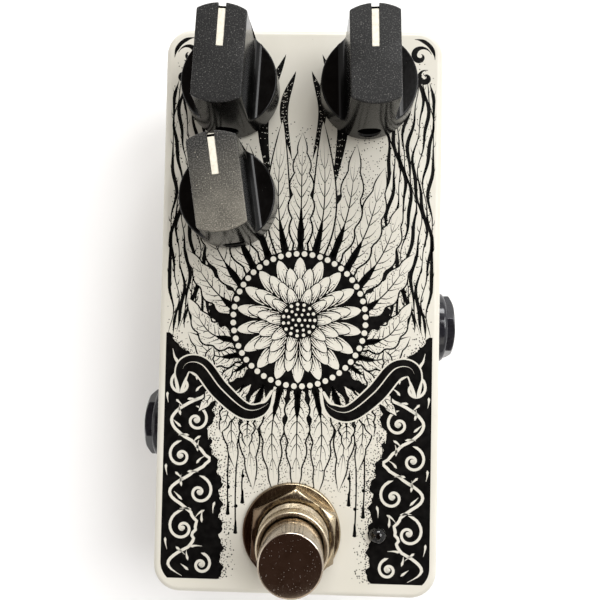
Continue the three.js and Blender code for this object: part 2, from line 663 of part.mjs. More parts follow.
const inlet = new THREE.Group();
inlet.rotation.x = -Math.PI / 2;
inlet.position.z = INLET.z;
object.add(inlet);
piece(inlet, 'dc_jack_housing', inletHousing(), blackPlastic);
piece(inlet, 'dc_jack_nut',
  hexNut(INLET.nutAcrossFlats, INLET.radius + FIT, INLET.nutIn, INLET.nutOut, 30), blackPlastic);
piece(inlet, 'dc_jack_pin',
  rod(INLET.pinRadius, INLET.socketBottom - 2, INLET.pinTip, TINY), nickel);

// ---------------------------------------------------------------- electronics

function boardPlate(xLow, xHigh, yLow, yHigh, zLow, zHigh, holes) {
  const drills = holes.map(([x, y]) => rod(1, zLow - OVER, zHigh + OVER, TINY).translate(x, y, 0));
  return cutAll(block(xLow, xHigh, yLow, yHigh, zLow, zHigh), drills);
}

function amplifierChip() {
  const low = BOARD.top;
  const body = block(-CHIP.halfX, CHIP.halfX, -CHIP.halfY, CHIP.halfY, low + CHIP.lift, low + CHIP.top);
  const leg = block(-CHIP.legHalf, CHIP.legHalf, CHIP.halfY - FIT, CHIP.legReach, low + SEAT,
    low + CHIP.legTop);
  const legs = [];
  for (const turn of [0, 180]) {
    for (const place of [-1.5, -0.5, 0.5, 1.5]) {
      legs.push(leg.translate(place * CHIP.legPitch, 0, 0).rotate([0, 0, turn]));
    }
  }
  return joinAll([body, ...legs]);
}

function filterCapacitor() {
  const { radius, grooveDepth: depth, grooveHeight, height } = CAPACITOR;
  const low = BOARD.top + SEAT;
  const groove = low + grooveHeight;
  return turned([
    [0, low], [radius, low], [radius, groove - depth], [radius - depth, groove],
    [radius, groove + depth], [radius, low + height - depth], [radius - depth, low + height],
    [0, low + height],
  ], SMALL);
}

const mainDrills = [[-17, 39], [17, 10]];
const switchDrills = [[11, -45]];
piece(object, 'main_board', boardPlate(-BOARD.halfWidth, BOARD.halfWidth, BOARD.yMin, BOARD.yMax,
  BOARD.bottom, BOARD.top, mainDrills), board);
piece(object, 'amplifier_chip', amplifierChip(), blackPlastic).position.set(CHIP.x, CHIP.y, 0);
piece(object, 'filter_capacitor', filterCapacitor(), insulation)
  .position.set(CAPACITOR.x, CAPACITOR.y, 0);
piece(object, 'switch_board', boardPlate(SWITCH_BOARD.xMin, SWITCH_BOARD.xMax, SWITCH_BOARD.yMin,
  SWITCH_BOARD.yMax, SWITCH_BOARD.bottom, SWITCH_BOARD.top, switchDrills), board);

// The ribbon drops from the main board, runs along the base under the output jack and
// climbs on to the edge of the switch board.
const RIBBON_X = -6.2;
const ribbonLine = [
  [9.5, 16.3], [6, 15.4], [1.5, 10], [-5, 5.2], [-14, 3.9], [-22, 4.1], [-27.5, 6.2], [-30.6, 6.5],
];
const ribbon = strip(ribbonLine, 0.9, 4, 20).rotate([90, 0, 90]);
piece(object, 'ribbon_cable', ribbon.translate(RIBBON_X, 0, 0), insulation);

const WIRE_RADIUS = 0.55;
piece(object, 'input_wire', wire([
  [-6.3, -2.9, 19.5], [-8.2, -6.5, 17], [-4.5, -12.6, 9.5], [4, -16, 6], [6.6, -21.5, 5.2],
  [6.5, -26.5, 6.4], [6, -30.8, 6.6],
], WIRE_RADIUS, 14), insulation);
piece(object, 'output_wire', wire([
  [6.3, -22.8, 19.5], [9.4, -23.5, 17.5], [11.2, -26.5, 11], [11.4, -30.5, 6.5],
], WIRE_RADIUS, 9), insulation);
piece(object, 'power_wire', wire([
  [2.5, 33.2, 10], [2.8, 30, 10.4], [4, 26.5, 13], [4.6, 25, 16.3],
], WIRE_RADIUS, 9), insulation);

export default object;
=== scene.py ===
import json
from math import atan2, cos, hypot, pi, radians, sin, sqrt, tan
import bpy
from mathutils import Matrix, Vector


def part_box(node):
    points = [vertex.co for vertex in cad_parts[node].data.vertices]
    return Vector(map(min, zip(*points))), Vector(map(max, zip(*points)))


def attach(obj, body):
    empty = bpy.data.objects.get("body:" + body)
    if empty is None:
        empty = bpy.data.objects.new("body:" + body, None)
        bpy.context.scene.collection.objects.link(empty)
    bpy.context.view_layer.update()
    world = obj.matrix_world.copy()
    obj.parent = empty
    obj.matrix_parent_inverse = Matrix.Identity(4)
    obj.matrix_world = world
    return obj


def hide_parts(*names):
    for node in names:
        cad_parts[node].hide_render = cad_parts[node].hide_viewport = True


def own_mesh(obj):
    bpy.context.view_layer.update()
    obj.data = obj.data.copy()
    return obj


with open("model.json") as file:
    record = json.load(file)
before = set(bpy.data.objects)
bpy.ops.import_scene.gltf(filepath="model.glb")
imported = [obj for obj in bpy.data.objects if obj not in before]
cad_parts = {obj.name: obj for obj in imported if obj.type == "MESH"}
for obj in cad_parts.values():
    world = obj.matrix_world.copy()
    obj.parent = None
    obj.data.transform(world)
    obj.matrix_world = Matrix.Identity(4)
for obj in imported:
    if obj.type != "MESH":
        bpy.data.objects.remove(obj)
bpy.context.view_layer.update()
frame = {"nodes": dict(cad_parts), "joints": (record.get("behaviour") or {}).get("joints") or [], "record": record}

# Mini guitar effects pedal. Lengths are millimetres in the frame's axes, apart from the lights and
# the floor, which are in metres. The face looks along +Z, +Y runs to the control end and +X is the
# input jack's side.

from types import SimpleNamespace

import bmesh
import bpy
import numpy as np
from mathutils import Euler, Matrix, Vector

MM = 0.001
TAU = 2 * pi


def span(node):
    """Lowest and highest corner of a CAD node, in millimetres."""
    low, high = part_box(node)
    return [c / MM for c in low], [c / MM for c in high]


def middle(node, axis):
    low, high = span(node)
    return (low[axis] + high[axis]) / 2


def add_object(name, data):
    made = bpy.data.objects.new(name, data)
    bpy.context.scene.collection.objects.link(made)
    return made


SHELL_HIGH = span("enclosure_shell")[1]
FACE = SHELL_HIGH[2]
HALF_X, HALF_Y = SHELL_HIGH[0], SHELL_HIGH[1]
BASE_TOP = span("base_plate")[1][2]
WALL = 2.0
FACE_WALL = 2.2
DRAFT = 0.45
CORNER = 5.0
EDGE = 1.2
JOINTS = {joint["child"]: joint for joint in frame["joints"]}
SWITCH_X, SWITCH_Y = middle("footswitch_button", 0), middle("footswitch_button", 1)
LED_X, LED_Y = middle("status_led", 0), middle("status_led", 1)

# A painted dark reflection, brown in colour, on the footswitch's washer and nut fades out between these places on
# the face.
PAINTED_REFLECTION_PLACES = ((SWITCH_X - 7.5, SWITCH_Y - 1.5), (SWITCH_X + 4.5, SWITCH_Y + 3))

# Each control's body and name. A dial's own middle lies between its joint's two stops.
CONTROLS = {
    "dial_upper_left": "upper_left",
    "dial_upper_right": "upper_right",
    "dial_lower_left": "lower_left",
}
DIAL_PLACES = {body: [c / MM for c in JOINTS[body]["pos_m"][:2]] for body in CONTROLS}
DIAL_TURNS = {body: -sum(JOINTS[body]["range_deg"]) / 2 for body in CONTROLS}

# ---- shader nodes


class Nodes:
    """Short ways to add shader nodes to a tree."""

    def __init__(self, tree):
        self.tree = tree

    def feed(self, socket, value):
        if isinstance(value, bpy.types.NodeSocket):
            self.tree.links.new(value, socket)
        else:
            socket.default_value = value

    def node(self, kind, feeds=None, **settings):
        """A node with its settings made, and each input in feeds given a value or a link."""
        made = self.tree.nodes.new("ShaderNode" + kind)
        for name, value in settings.items():
            setattr(made, name, value)
        for socket, value in (feeds or {}).items():
            self.feed(made.inputs[socket], value)
        return made

    def vector(self, operation, first, second=(0, 0, 0)):
        made = self.node("VectorMath", {0: first, 1: second}, operation=operation)
        return made.outputs["Value" if operation in ("LENGTH", "DOT_PRODUCT") else "Vector"]

    def times(self, first, second):
        return self.node("Math", {0: first, 1: second}, operation="MULTIPLY").outputs[0]

    def ramp(self, value, low, high, out_low=0.0, out_high=1.0):
        made = self.node("MapRange", {
            "Value": value, "From Min": low, "From Max": high, "To Min": out_low, "To Max": out_high,
        })
        return made.outputs["Result"]

    def mix(self, amount, *tones):
        """From the first of two tones to the second."""
        first, second = (t if isinstance(t, bpy.types.NodeSocket) else (*t, 1) for t in tones)
        made = self.node("Mix", {"Factor": amount, "A": first, "B": second}, data_type="RGBA")
        return made.outputs["Result"]


MATERIALS = {}


class Finish(Nodes):
    """A material, kept in MATERIALS, and short ways to shade it."""

    def __init__(self, name, **sockets):
        material = bpy.data.materials.new(name)
        material.use_nodes = True
        MATERIALS[name] = material
        super().__init__(material.node_tree)
        self.shader = self.tree.nodes["Principled BSDF"]
        self.place = self.node("TexCoord").outputs["Object"]
        self.bumps = None
        for socket, value in sockets.items():
            self.shader.inputs[socket.replace("_", " ")].default_value = value

    def noise(self, size, detail=2.0, stretch=(1, 1, 1)):
        """Noise whose features are about size millimetres across."""
        place = self.place
        if stretch != (1, 1, 1):
            place = self.node("Mapping", {"Vector": place, "Scale": stretch}).outputs[0]
        feeds = {"Vector": place, "Scale": 1 / (size * MM), "Detail": detail}
        return self.node("TexNoise", feeds).outputs["Fac"]

    def specks(self, pitch, radius, share):
        """1 on round specks scattered about pitch millimetres apart, of which only a share show."""
        cells = self.node("TexVoronoi", {"Vector": self.place, "Scale": 1 / (pitch * MM)})
        spot = self.ramp(cells.outputs["Distance"], radius / pitch, 0.6 * radius / pitch)
        split = self.node("SeparateColor", {0: cells.outputs["Color"]})
        return self.times(spot, self.ramp(split.outputs[0], 1 - share, 1 - 0.6 * share))

    def slope(self, start, end):
        """Rises from 0 at one place on the face to 1 at another, in millimetres."""
        away = np.subtract(end, start)
        offset = self.vector("SUBTRACT", self.place, (start[0] * MM, start[1] * MM, 0))
        return self.vector("DOT_PRODUCT", offset, (*(away / (away @ away) / MM), 0))

    def clouds(self, size, detail, low, high, first, second):
        """One tone that clouds over into another."""
        return self.mix(self.ramp(self.noise(size, detail), low, high), first, second)

    def bump(self, height, depth, strength=1.0):
        """Adds relief of about depth millimetres."""
        feeds = {"Height": height, "Distance": depth * MM, "Strength": strength}
        if self.bumps:
            feeds["Normal"] = self.bumps
        self.bumps = self.node("Bump", feeds).outputs["Normal"]
        self.feed(self.shader.inputs["Normal"], self.bumps)

    def color(self, value):
        self.feed(self.shader.inputs["Base Color"], value)

    def roughness(self, value):
        self.feed(self.shader.inputs["Roughness"], value)

    def sheen(self, size, low, high, detail=2.0):
        """A roughness that wanders between two values."""
        self.roughness(self.ramp(self.noise(size, detail), 0.3, 0.7, low, high))


# ---- camera, floor and light

# Place in millimetres and turn in degrees, fitted to the photo's view. The lens was nudged.
CAMERA = SimpleNamespace(place=(2.739, -1.676, 136.478), turn=(1.757, 1.3976, 1.147), lens=36.27)


def make_camera():
    data = bpy.data.cameras.new("camera")
    data.sensor_width = 36
    data.lens = CAMERA.lens
    data.clip_start = 0.005
    data.clip_end = 20
    camera = add_object("camera", data)
    camera.location = Vector(CAMERA.place) * MM
    camera.rotation_euler = Euler([radians(a) for a in CAMERA.turn])
    bpy.context.scene.camera = camera


def area_light(name, place, size, power, color=(1.0, 1.0, 1.0)):
    """A softbox at place, turned to the pedal, all in metres."""
    data = bpy.data.lights.new(name, "AREA")
    data.shape = "RECTANGLE"
    data.size, data.size_y = size
    data.energy = power
    data.color = color
    light = add_object(name, data)
    light.location = place
    aim = Vector((0, 0, 0.02))
    light.rotation_euler = (aim - Vector(place)).to_track_quat("-Z", "Y").to_euler()
    light.visible_camera = False


def make_lights():
    area_light("key", (0.36, 0.16, 0.56), (0.34, 0.34), 2.5)
    area_light("back", (0.1, 0.62, 0.42), (0.5, 0.2), 3.3)
    area_light("fill", (-0.5, -0.1, 0.45), (0.5, 0.5), 0.6)
    area_light("front", (0.12, -0.5, 0.5), (0.5, 0.3), 0.5, (1.0, 0.95, 0.88))


def make_world():
    """A pale room with a dark ceiling patch straight above, which the flat tops mirror."""
    world = bpy.data.worlds.new("studio")
    bpy.context.scene.world = world
    world.use_nodes = True
    made = Nodes(world.node_tree)
    direction = made.node("TexCoord").outputs["Generated"]
    off_zenith = made.vector("LENGTH", made.vector("MULTIPLY", direction, (1.45, 1.0, 0.0)))
    to_window = made.vector("DOT_PRODUCT", direction, (0.85, 0.5, 0.1))
    walls = made.node("ValToRGB", {"Fac": to_window})
    stops = walls.color_ramp.elements
    stops[0].position, stops[0].color = 0.0, (0.62, 0.60, 0.58, 1)
    stops[1].position, stops[1].color = 0.75, (1.0, 1.0, 1.0, 1)
    room = made.mix(made.ramp(off_zenith, 0.58, 0.82), (0.050, 0.026, 0.019), walls.outputs["Color"])
    made.feed(world.node_tree.nodes["Background"].inputs["Color"], room)


def make_floor():
    half = 2.5
    mesh = bpy.data.meshes.new("floor")
    mesh.from_pydata([(-half, -half, 0), (half, -half, 0), (half, half, 0), (-half, half, 0)],
                     [], [(0, 1, 2, 3)])
    floor = add_object("floor", mesh)
    Finish("floor", Base_Color=(0.94, 0.94, 0.94, 1), Roughness=0.9)
    mesh.materials.append(MATERIALS["floor"])


# ---- materials


def powder_coat():
    made = Finish("powder_coat", Coat_Weight=0.15, Coat_Roughness=0.25)
    mottle = made.clouds(9, 3, 0.35, 0.65, (0.62, 0.595, 0.515), (0.65, 0.625, 0.55))
    made.color(made.mix(made.specks(1.6, 0.07, 0.3), mottle, (0.42, 0.38, 0.31)))
    made.sheen(0.5, 0.32, 0.46)
    made.bump(made.noise(0.55), 0.012, 0.5)
    made.bump(made.noise(4.5, 1), 0.03, 0.35)


def face_ink():
    made = Finish("face_ink", IOR=1.16)
    made.color(made.clouds(1.4, 4, 0.4, 0.7, (0.0015, 0.0013, 0.0012), (0.006, 0.0055, 0.005)))
    made.sheen(0.6, 0.34, 0.5)
    made.bump(made.noise(0.5), 0.008, 0.5)


def cast_metal(name, tone, dark, rough):
    made = Finish(name, Metallic=1.0)
    made.color(made.clouds(2.5, 5, 0.35, 0.7, tone, dark))
    made.sheen(0.7, rough - 0.08, rough + 0.1, detail=3)
    made.bump(made.noise(0.35, 3), 0.01, 0.6)


def plated(name, tone, stain, spot, rough, painted_reflection=None):
    """Bright plating with faint stains, pin-prick spots and hair-fine scratches.

    The last argument, if given, is a pair of places between which a painted dark reflection, brown in colour,
    fades out.
    """
    made = Finish(name, Metallic=1.0)
    stained = made.clouds(1.7, 4, 0.42, 0.72, tone, stain)
    metal = made.mix(made.specks(0.55, 0.07, 0.35), stained, spot)
    # Painted dark reflection: a brown film that fades out between the two places.
    if painted_reflection:
        unreflected = made.ramp(made.slope(*painted_reflection), 0.0, 1.0)
        metal = made.mix(unreflected, (0.075, 0.04, 0.024), metal)
    made.color(metal)
    scratches = made.noise(0.16, 2, stretch=(1, 0.12, 1))
    made.roughness(made.ramp(scratches, 0.35, 0.75, rough, rough + 0.12))
    made.bump(made.noise(0.9, 3), 0.006, 0.4)


def moulded(name, tone, rough, grain=0.22, depth=0.01):
    """Moulded plastic with a fine grain."""
    made = Finish(name)
    made.color(made.clouds(1.6, 4, 0.35, 0.7, tone, [c * 1.7 for c in tone]))
    made.sheen(0.4, rough - 0.06, rough + 0.08, detail=3)
    made.bump(made.noise(grain), depth, 0.5)


def knob_top(name, tone, wear_and_sheen_tone, wear_and_sheen_share):
    """A knob's etched top. Its raised grain is rubbed to the lighter tone, over the share given last: wear, and on
    the lower left knob a painted highlight as well.
    """
    made = Finish(name, IOR=1.37)
    grain = made.noise(0.2, 3)
    rubbed_and_sheen = made.ramp(grain, 0.54 - 0.1 * wear_and_sheen_share, 0.74 - 0.14 * wear_and_sheen_share)
    base = made.mix(rubbed_and_sheen, made.clouds(3.5, 3, 0.35, 0.7, tone, [c * 1.8 for c in tone]), wear_and_sheen_tone)
    if wear_and_sheen_share:
        x, y = DIAL_PLACES[WEAR_AND_SHEEN_KNOB]
        # A painted dark reflection at the upper left.
        painted_dark_reflection = made.ramp(made.slope((x - 3, y + 7), (x + 4, y - 7)), 0.1, 0.95)
        base = made.mix(painted_dark_reflection, made.mix(rubbed_and_sheen, (0.014, 0.014, 0.013), (0.11, 0.106, 0.098)), base)
        made.bump(made.noise(0.5), 0.05, 0.7)
    made.color(made.mix(made.specks(0.42, 0.075, 0.22), base, [min(1.0, c * 1.9) for c in wear_and_sheen_tone]))
    made.roughness(made.ramp(grain, 0.3, 0.7, 0.62, 0.42))
    made.bump(grain, 0.03, 0.6)


def knob_gloss():
    """The knob's smooth sides, with a little dust."""
    made = Finish("knob_gloss", IOR=1.34)
    black = made.clouds(2.2, 4, 0.35, 0.7, (0.0012, 0.0012, 0.0012), (0.0035, 0.0034, 0.0032))
    made.color(made.mix(made.specks(0.45, 0.055, 0.12), black, (0.06, 0.057, 0.053)))
    made.sheen(0.5, 0.15, 0.23, detail=3)
    made.bump(made.noise(0.3), 0.004, 0.5)


def mirror_cap():
    """The button's polished plating, with fine dust and dull smears."""
    made = Finish("mirror_cap", Metallic=1.0)
    smears = made.clouds(1.6, 4, 0.4, 0.7, (0.50, 0.43, 0.35), (0.40, 0.33, 0.25))
    dusty = made.specks(0.36, 0.075, 0.85)
    made.color(made.mix(dusty, smears, (0.60, 0.55, 0.52)))
    made.roughness(made.ramp(dusty, 0.0, 1.0, 0.13, 0.36))
    made.bump(made.noise(1.1), 0.002, 0.4)


def paint_fill():
    made = Finish("white_fill")
    made.color(made.clouds(0.5, 3, 0.4, 0.75, (0.83, 0.79, 0.67), (0.66, 0.62, 0.51)))
    made.sheen(0.3, 0.4, 0.6)
    made.bump(made.noise(0.3), 0.02, 0.5)


def clear_lens():
    made = Finish("lens", Transmission_Weight=1.0, IOR=1.5)
    made.color(made.mix(made.noise(0.8), (0.34, 0.31, 0.27), (0.20, 0.18, 0.16)))
    made.sheen(0.5, 0.02, 0.06)
    made.bump(made.noise(0.7), 0.004, 0.4)


def circuit_board():
    made = Finish("board")
    tracks = made.ramp(made.noise(1.1, 0, stretch=(1, 0.2, 1)), 0.52, 0.55)
    made.color(made.mix(tracks, (0.012, 0.085, 0.04), (0.02, 0.16, 0.075)))
    made.sheen(0.5, 0.25, 0.4)
    made.bump(tracks, 0.03, 0.6)


def make_materials():
    powder_coat()
    face_ink()
    cast_metal("bare_plate", (0.62, 0.63, 0.64), (0.42, 0.43, 0.44), 0.42)
    cast_metal("steel", (0.60, 0.58, 0.54), (0.40, 0.38, 0.34), 0.3)
    cast_metal("shaft_metal", (0.72, 0.72, 0.71), (0.55, 0.55, 0.54), 0.28)
    plated("nickel", (0.62, 0.53, 0.39), (0.46, 0.37, 0.25), (0.28, 0.21, 0.13), 0.24)
    # A darker, painted-shade copy of the nickel, with a painted dark reflection over it, for the footswitch's
    # washer and nut.
    plated("nickel_painted_dark", (0.46, 0.38, 0.26), (0.30, 0.23, 0.14), (0.18, 0.12, 0.07), 0.18, PAINTED_REFLECTION_PLACES)
    mirror_cap()
    cast_metal("brass", (0.72, 0.50, 0.20), (0.50, 0.33, 0.12), 0.25)
    knob_top("knob_plastic", (0.005, 0.005, 0.005), (0.105, 0.102, 0.096), 0.0)
    # The lower left knob: lighter tones and a wider rubbed share, wear and a painted highlight together.
    knob_top("knob_wear_and_painted_sheen", (0.10, 0.093, 0.077), (0.27, 0.25, 0.205), 0.55)
    knob_gloss()
    moulded("switch_plastic", (0.015, 0.015, 0.017), 0.4)
    moulded("jack_plastic", (0.010, 0.010, 0.010), 0.38)
    moulded("jack_gloss", (0.010, 0.010, 0.013), 0.12, depth=0.004)
    paint_fill()
    clear_lens()
    circuit_board()
    moulded("insulation", (0.02, 0.02, 0.024), 0.45, grain=0.8, depth=0.02)


# ---- mesh tools

# The angle in degrees that counts as a sharp edge, and the sides of a smooth round.
SHARP = 32
ROUND = 96
QUADRANTS = ((1, 1), (-1, 1), (-1, -1), (1, -1))


def shape(verts, faces):
    """A closed mesh object from points in millimetres, with its faces turned outward."""
    mesh = bpy.data.meshes.new("shape")
    mesh.from_pydata([(x * MM, y * MM, z * MM) for x, y, z in verts], [], faces)
    body = bmesh.new()
    body.from_mesh(mesh)
    bmesh.ops.remove_doubles(body, verts=body.verts, dist=1e-7)
    bmesh.ops.recalc_face_normals(body, faces=body.faces)
    body.to_mesh(mesh)
    body.free()
    return add_object("shape", mesh)


def settle(piece):
    """Applies the piece's modifiers."""
    graph = bpy.context.evaluated_depsgraph_get()
    mesh = bpy.data.meshes.new_from_object(piece.evaluated_get(graph))
    piece.modifiers.clear()
    piece.data = mesh
    return piece


def boolean(piece, others, operation):
    for other in others:
        modifier = piece.modifiers.new("boolean", "BOOLEAN")
        modifier.operation = operation
        modifier.solver = "EXACT"
        modifier.object = other
    settle(piece)
    for other in others:
        bpy.data.objects.remove(other)
    return piece


def cut(piece, *cutters):
    return boolean(piece, cutters, "DIFFERENCE")


def join(piece, *others):
    return boolean(piece, others, "UNION")


def bevel(piece, width, segments=2):
    modifier = piece.modifiers.new("bevel", "BEVEL")
    modifier.width = width * MM
    modifier.segments = segments
    modifier.limit_method = "ANGLE"
    modifier.angle_limit = radians(SHARP)
    modifier.use_clamp_overlap = False
    modifier.miter_outer = "MITER_ARC"
    return settle(piece)


def move(piece, matrix):
    piece.data.transform(matrix)
    return piece


def shift(x=0.0, y=0.0, z=0.0):
    return Matrix.Translation(Vector((x, y, z)) * MM)


def spin(axis, degrees):
    return Matrix.Rotation(radians(degrees), 4, axis)


def finish(piece, name, slot, *stands_for, body="casing", look=None, angle=SHARP):
    """Names a piece and shades it, with its slot's material or another look unless it has one; sets it on a body
    and hides the CAD nodes it replaces.
    """
    piece.name = name
    piece.data.name = name
    if not piece.data.materials:
        piece.data.materials.append(MATERIALS[look or slot])
    piece.data.shade_smooth()
    piece.data.set_sharp_from_angle(angle=radians(angle))
    normals = piece.modifiers.new("normals", "WEIGHTED_NORMAL")
    normals.keep_sharp = True
    normals.weight = 100
    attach(piece, body)
    if stands_for:
        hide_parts(*stands_for)
    return piece


def arc(centre, radius, start, end, steps):
    """Points on an arc, in degrees."""
    points = []
    for i in range(steps + 1):
        angle = radians(start + (end - start) * i / steps)
        points.append((centre[0] + radius * cos(angle), centre[1] + radius * sin(angle)))
    return points


def rounded(corners, steps=4):
    """A profile with an arc at each corner given as (radius, height, rounding)."""
    points = []
    for i, corner in enumerate(corners):
        here = Vector(corner[:2])
        rounding = corner[2] if len(corner) > 2 else 0
        if not rounding:
            points.append(tuple(here))
            continue
        before = (Vector(corners[i - 1][:2]) - here).normalized()
        after = (Vector(corners[(i + 1) % len(corners)][:2]) - here).normalized()
        half = before.angle(after) / 2
        centre = here + (before + after).normalized() * rounding / sin(half)
        start = here + before * rounding / tan(half) - centre
        end = here + after * rounding / tan(half) - centre
        for k in range(steps + 1):
            points.append(tuple(centre + rounding * start.slerp(end, k / steps).normalized()))
    return points


def lathe(profile, segments=ROUND, start=0.0):
    """A solid of revolution about Z. The profile ends on the axis, or closes on itself."""
    verts, rings, faces = [], [], []
    for radius, height in profile:
        if radius < 1e-6:
            rings.append([len(verts)] * segments)
            verts.append((0, 0, height))
            continue
        rings.append(list(range(len(verts), len(verts) + segments)))
        for k in range(segments):
            angle = start + TAU * k / segments
            verts.append((radius * cos(angle), radius * sin(angle), height))
    closed = profile[0][0] > 1e-6
    for i in range(len(rings) - (0 if closed else 1)):
        low, high = rings[i], rings[(i + 1) % len(rings)]
        for k in range(segments):
            n = (k + 1) % segments
            corners = [low[k], low[n], high[n], high[k]]
            faces.append(list(dict.fromkeys(corners)))
    return shape(verts, faces)


def rod(radius, low, high, segments=64):
    return lathe([(0, low), (radius, low), (radius, high), (0, high)], segments)


def box(x, y, z):
    """A cutter block from three (low, high) pairs."""
    verts = [(a, b, c) for a in x for b in y for c in z]
    return shape(verts, [(0, 1, 3, 2), (4, 5, 7, 6), (0, 1, 5, 4), (2, 3, 7, 6), (0, 2, 6, 4), (1, 3, 7, 5)])


def loft(rings):
    """A closed solid through rings of equal point counts, capped at both ends."""
    count = len(rings[0])
    verts = [point for ring in rings for point in ring]
    faces = [list(range(count)), list(range(len(verts) - count, len(verts)))]
    for i in range(len(rings) - 1):
        for k in range(count):
            n = (k + 1) % count
            faces.append([i * count + k, i * count + n, (i + 1) * count + n, (i + 1) * count + k])
    return shape(verts, faces)


def prism(outline, low, high):
    return loft([[(x, y, low) for x, y in outline], [(x, y, high) for x, y in outline]])


def slab(half_x, half_y, radius, heights):
    """A rounded rectangular block. heights holds (height, inset) pairs."""
    rings = []
    for height, inset in heights:
        bend = max(radius - inset, 0.2)
        ring = []
        for i, (sx, sy) in enumerate(QUADRANTS):
            centre = (sx * (half_x - inset - bend), sy * (half_y - inset - bend))
            ring += [(x, y, height) for x, y in arc(centre, bend, 90 * i, 90 * i + 90, 10)]
        rings.append(ring)
    return loft(rings)


def washer(hole, radius, low, high, low_edge, high_edge):
    return lathe(rounded([
        (hole, low), (radius, low, low_edge), (radius, high, high_edge), (hole, high, 0.1),
    ]))


def hex_nut(across_flats, bore, low, high, turn, edge=0.08, seat=0.0):
    """A chamfered hex nut. seat is how deep and how far past the bore its countersink opens."""
    half = across_flats / 2
    corner = across_flats / sqrt(3)
    drop = (corner - half + 0.05) * 0.58
    envelope = lathe([
        (0, low - 1), (corner + 1, low - 1), (corner + 1, high - drop - 0.58), (half - 0.05, high), (0, high),
    ])
    outline = arc((0, 0), corner, turn, turn + 360, 6)[:-1]
    nut = boolean(prism(outline, low, high), [envelope], "INTERSECT")
    cutters = [rod(bore, low - 1, high + 1, 96)]
    if seat:
        cutters.append(lathe([(0, high - seat), (bore, high - seat), (bore + seat, high + 0.01),
                              (bore + seat, high + 1), (0, high + 1)]))
    return bevel(cut(nut, *cutters), edge)


# ---- casing

SCREW_INSET = 4.1
POST_RADIUS = 3.4
PILOT_RADIUS = 1.3
# The radii of the holes through the walls.
HOLES = SimpleNamespace(control=3.65, switch=6.1, light=1.68, jack=4.6, inlet=6.1)
SCREW_PLACES = [
    (sx * (HALF_X - SCREW_INSET), sy * (HALF_Y - SCREW_INSET))
    for sx, sy in QUADRANTS
]


def lean(height):
    """How far the walls have leaned in at a height."""
    return DRAFT * (height - BASE_TOP) / (FACE - BASE_TOP)


def enclosure():
    seam = 0.35
    heights = [(BASE_TOP, seam), (BASE_TOP + 0.1, 0.12), (BASE_TOP + seam, 0.0)]
    edge_bottom = FACE - EDGE
    heights.append((edge_bottom, lean(edge_bottom)))
    for along, up in arc((0, 0), EDGE, 0, 90, 8)[1:]:
        heights.append((edge_bottom + up, lean(edge_bottom + up) + EDGE - along))
    outer = slab(HALF_X, HALF_Y, CORNER, heights)
    ceiling = FACE - FACE_WALL
    hollow = slab(HALF_X - WALL, HALF_Y - WALL, CORNER - WALL, [
        (BASE_TOP - 1, lean(BASE_TOP - 1)), (ceiling - 1, lean(ceiling - 1)),
        (ceiling - 0.3, lean(ceiling) + 0.3), (ceiling, lean(ceiling) + 1),
    ])
    posts = [move(rod(POST_RADIUS, BASE_TOP - 2, ceiling + 1, 40), shift(x, y)) for x, y in SCREW_PLACES]
    cut(hollow, *posts)
    pilots = [move(rod(PILOT_RADIUS, BASE_TOP - 2, BASE_TOP + 11, 24), shift(x, y)) for x, y in SCREW_PLACES]
    holes = []
    for x, y in DIAL_PLACES.values():
        holes.append(move(rod(HOLES.control, ceiling - 1, FACE + 1), shift(x, y)))
    holes.append(move(rod(HOLES.switch, ceiling - 1, FACE + 1), shift(SWITCH_X, SWITCH_Y)))
    holes.append(move(rod(HOLES.light, ceiling - 1, FACE + 1, 40), shift(LED_X, LED_Y)))
    for name, side in (("input", 1), ("output", -1)):
        hole = move(rod(HOLES.jack, 20, 27), spin("Y", 90 * side))
        holes.append(move(hole, shift(0, middle(name + "_jack_nut", 1), middle(name + "_jack_nut", 2))))
    holes.append(move(move(rod(HOLES.inlet, 44, 54), spin("X", -90)), shift(0, 0, middle("dc_jack_nut", 2))))
    cut(outer, hollow, *pilots, *holes)
    finish(outer, "enclosure", "powder_coat", "enclosure_shell", angle=40)


def base_cover():
    plate = slab(HALF_X, HALF_Y, CORNER, [
        (0.0, 0.35), (0.1, 0.12), (0.35, 0.0), (BASE_TOP - 0.35, 0.0), (BASE_TOP - 0.1, 0.12),
        (BASE_TOP - 0.02, 0.35),
    ])
    seats = []
    for x, y in SCREW_PLACES:
        seat = lathe([(0, -1), (2.82, -1), (2.82, 0.2), (1.45, 1.7), (1.45, 3), (0, 3)], 48)
        seats.append(move(seat, shift(x, y)))
    cut(plate, *seats)
    finish(plate, "base_cover", "bare_plate", "base_plate")


def base_screws():
    for i, (x, y) in enumerate(SCREW_PLACES, 1):
        profile = [(0, 0.1), (2.55, 0.1), (2.7, 0.25), (1.35, 1.6), (1.15, 1.9)]
        pitch = 0.8
        for k in range(9):
            z = 2.1 + k * pitch
            profile += [(1.12, z), (1.22, z + pitch / 2)]
        profile += [(0.8, 9.6), (0, 10.05)]
        screw = lathe(profile, 32)
        arms = [move(box((-1.5, 1.5), (-0.3, 0.3), (-1, 0.95)), spin("Z", a)) for a in (45, 135)]
        cut(screw, *arms)
        finish(move(screw, shift(x, y)), f"cover_screw_{i}", "steel", f"base_screw_{i}")


# ---- knobs

# This knob's top is painted lighter, a painted highlight on top of wear, and gets a painted dark reflection at its
# upper left.
WEAR_AND_SHEEN_KNOB = "dial_lower_left"
# Radii and heights above the face. The bar has a half width at its top and at its foot.
KNOB = SimpleNamespace(
    base=8.3, rim=8.07, rim_height=6.0, top_radius=7.64, top=16.6, bottom=0.6,
    bar_top=3.84, bar_low=3.96, fillet=1.5, screw_height=4,
)


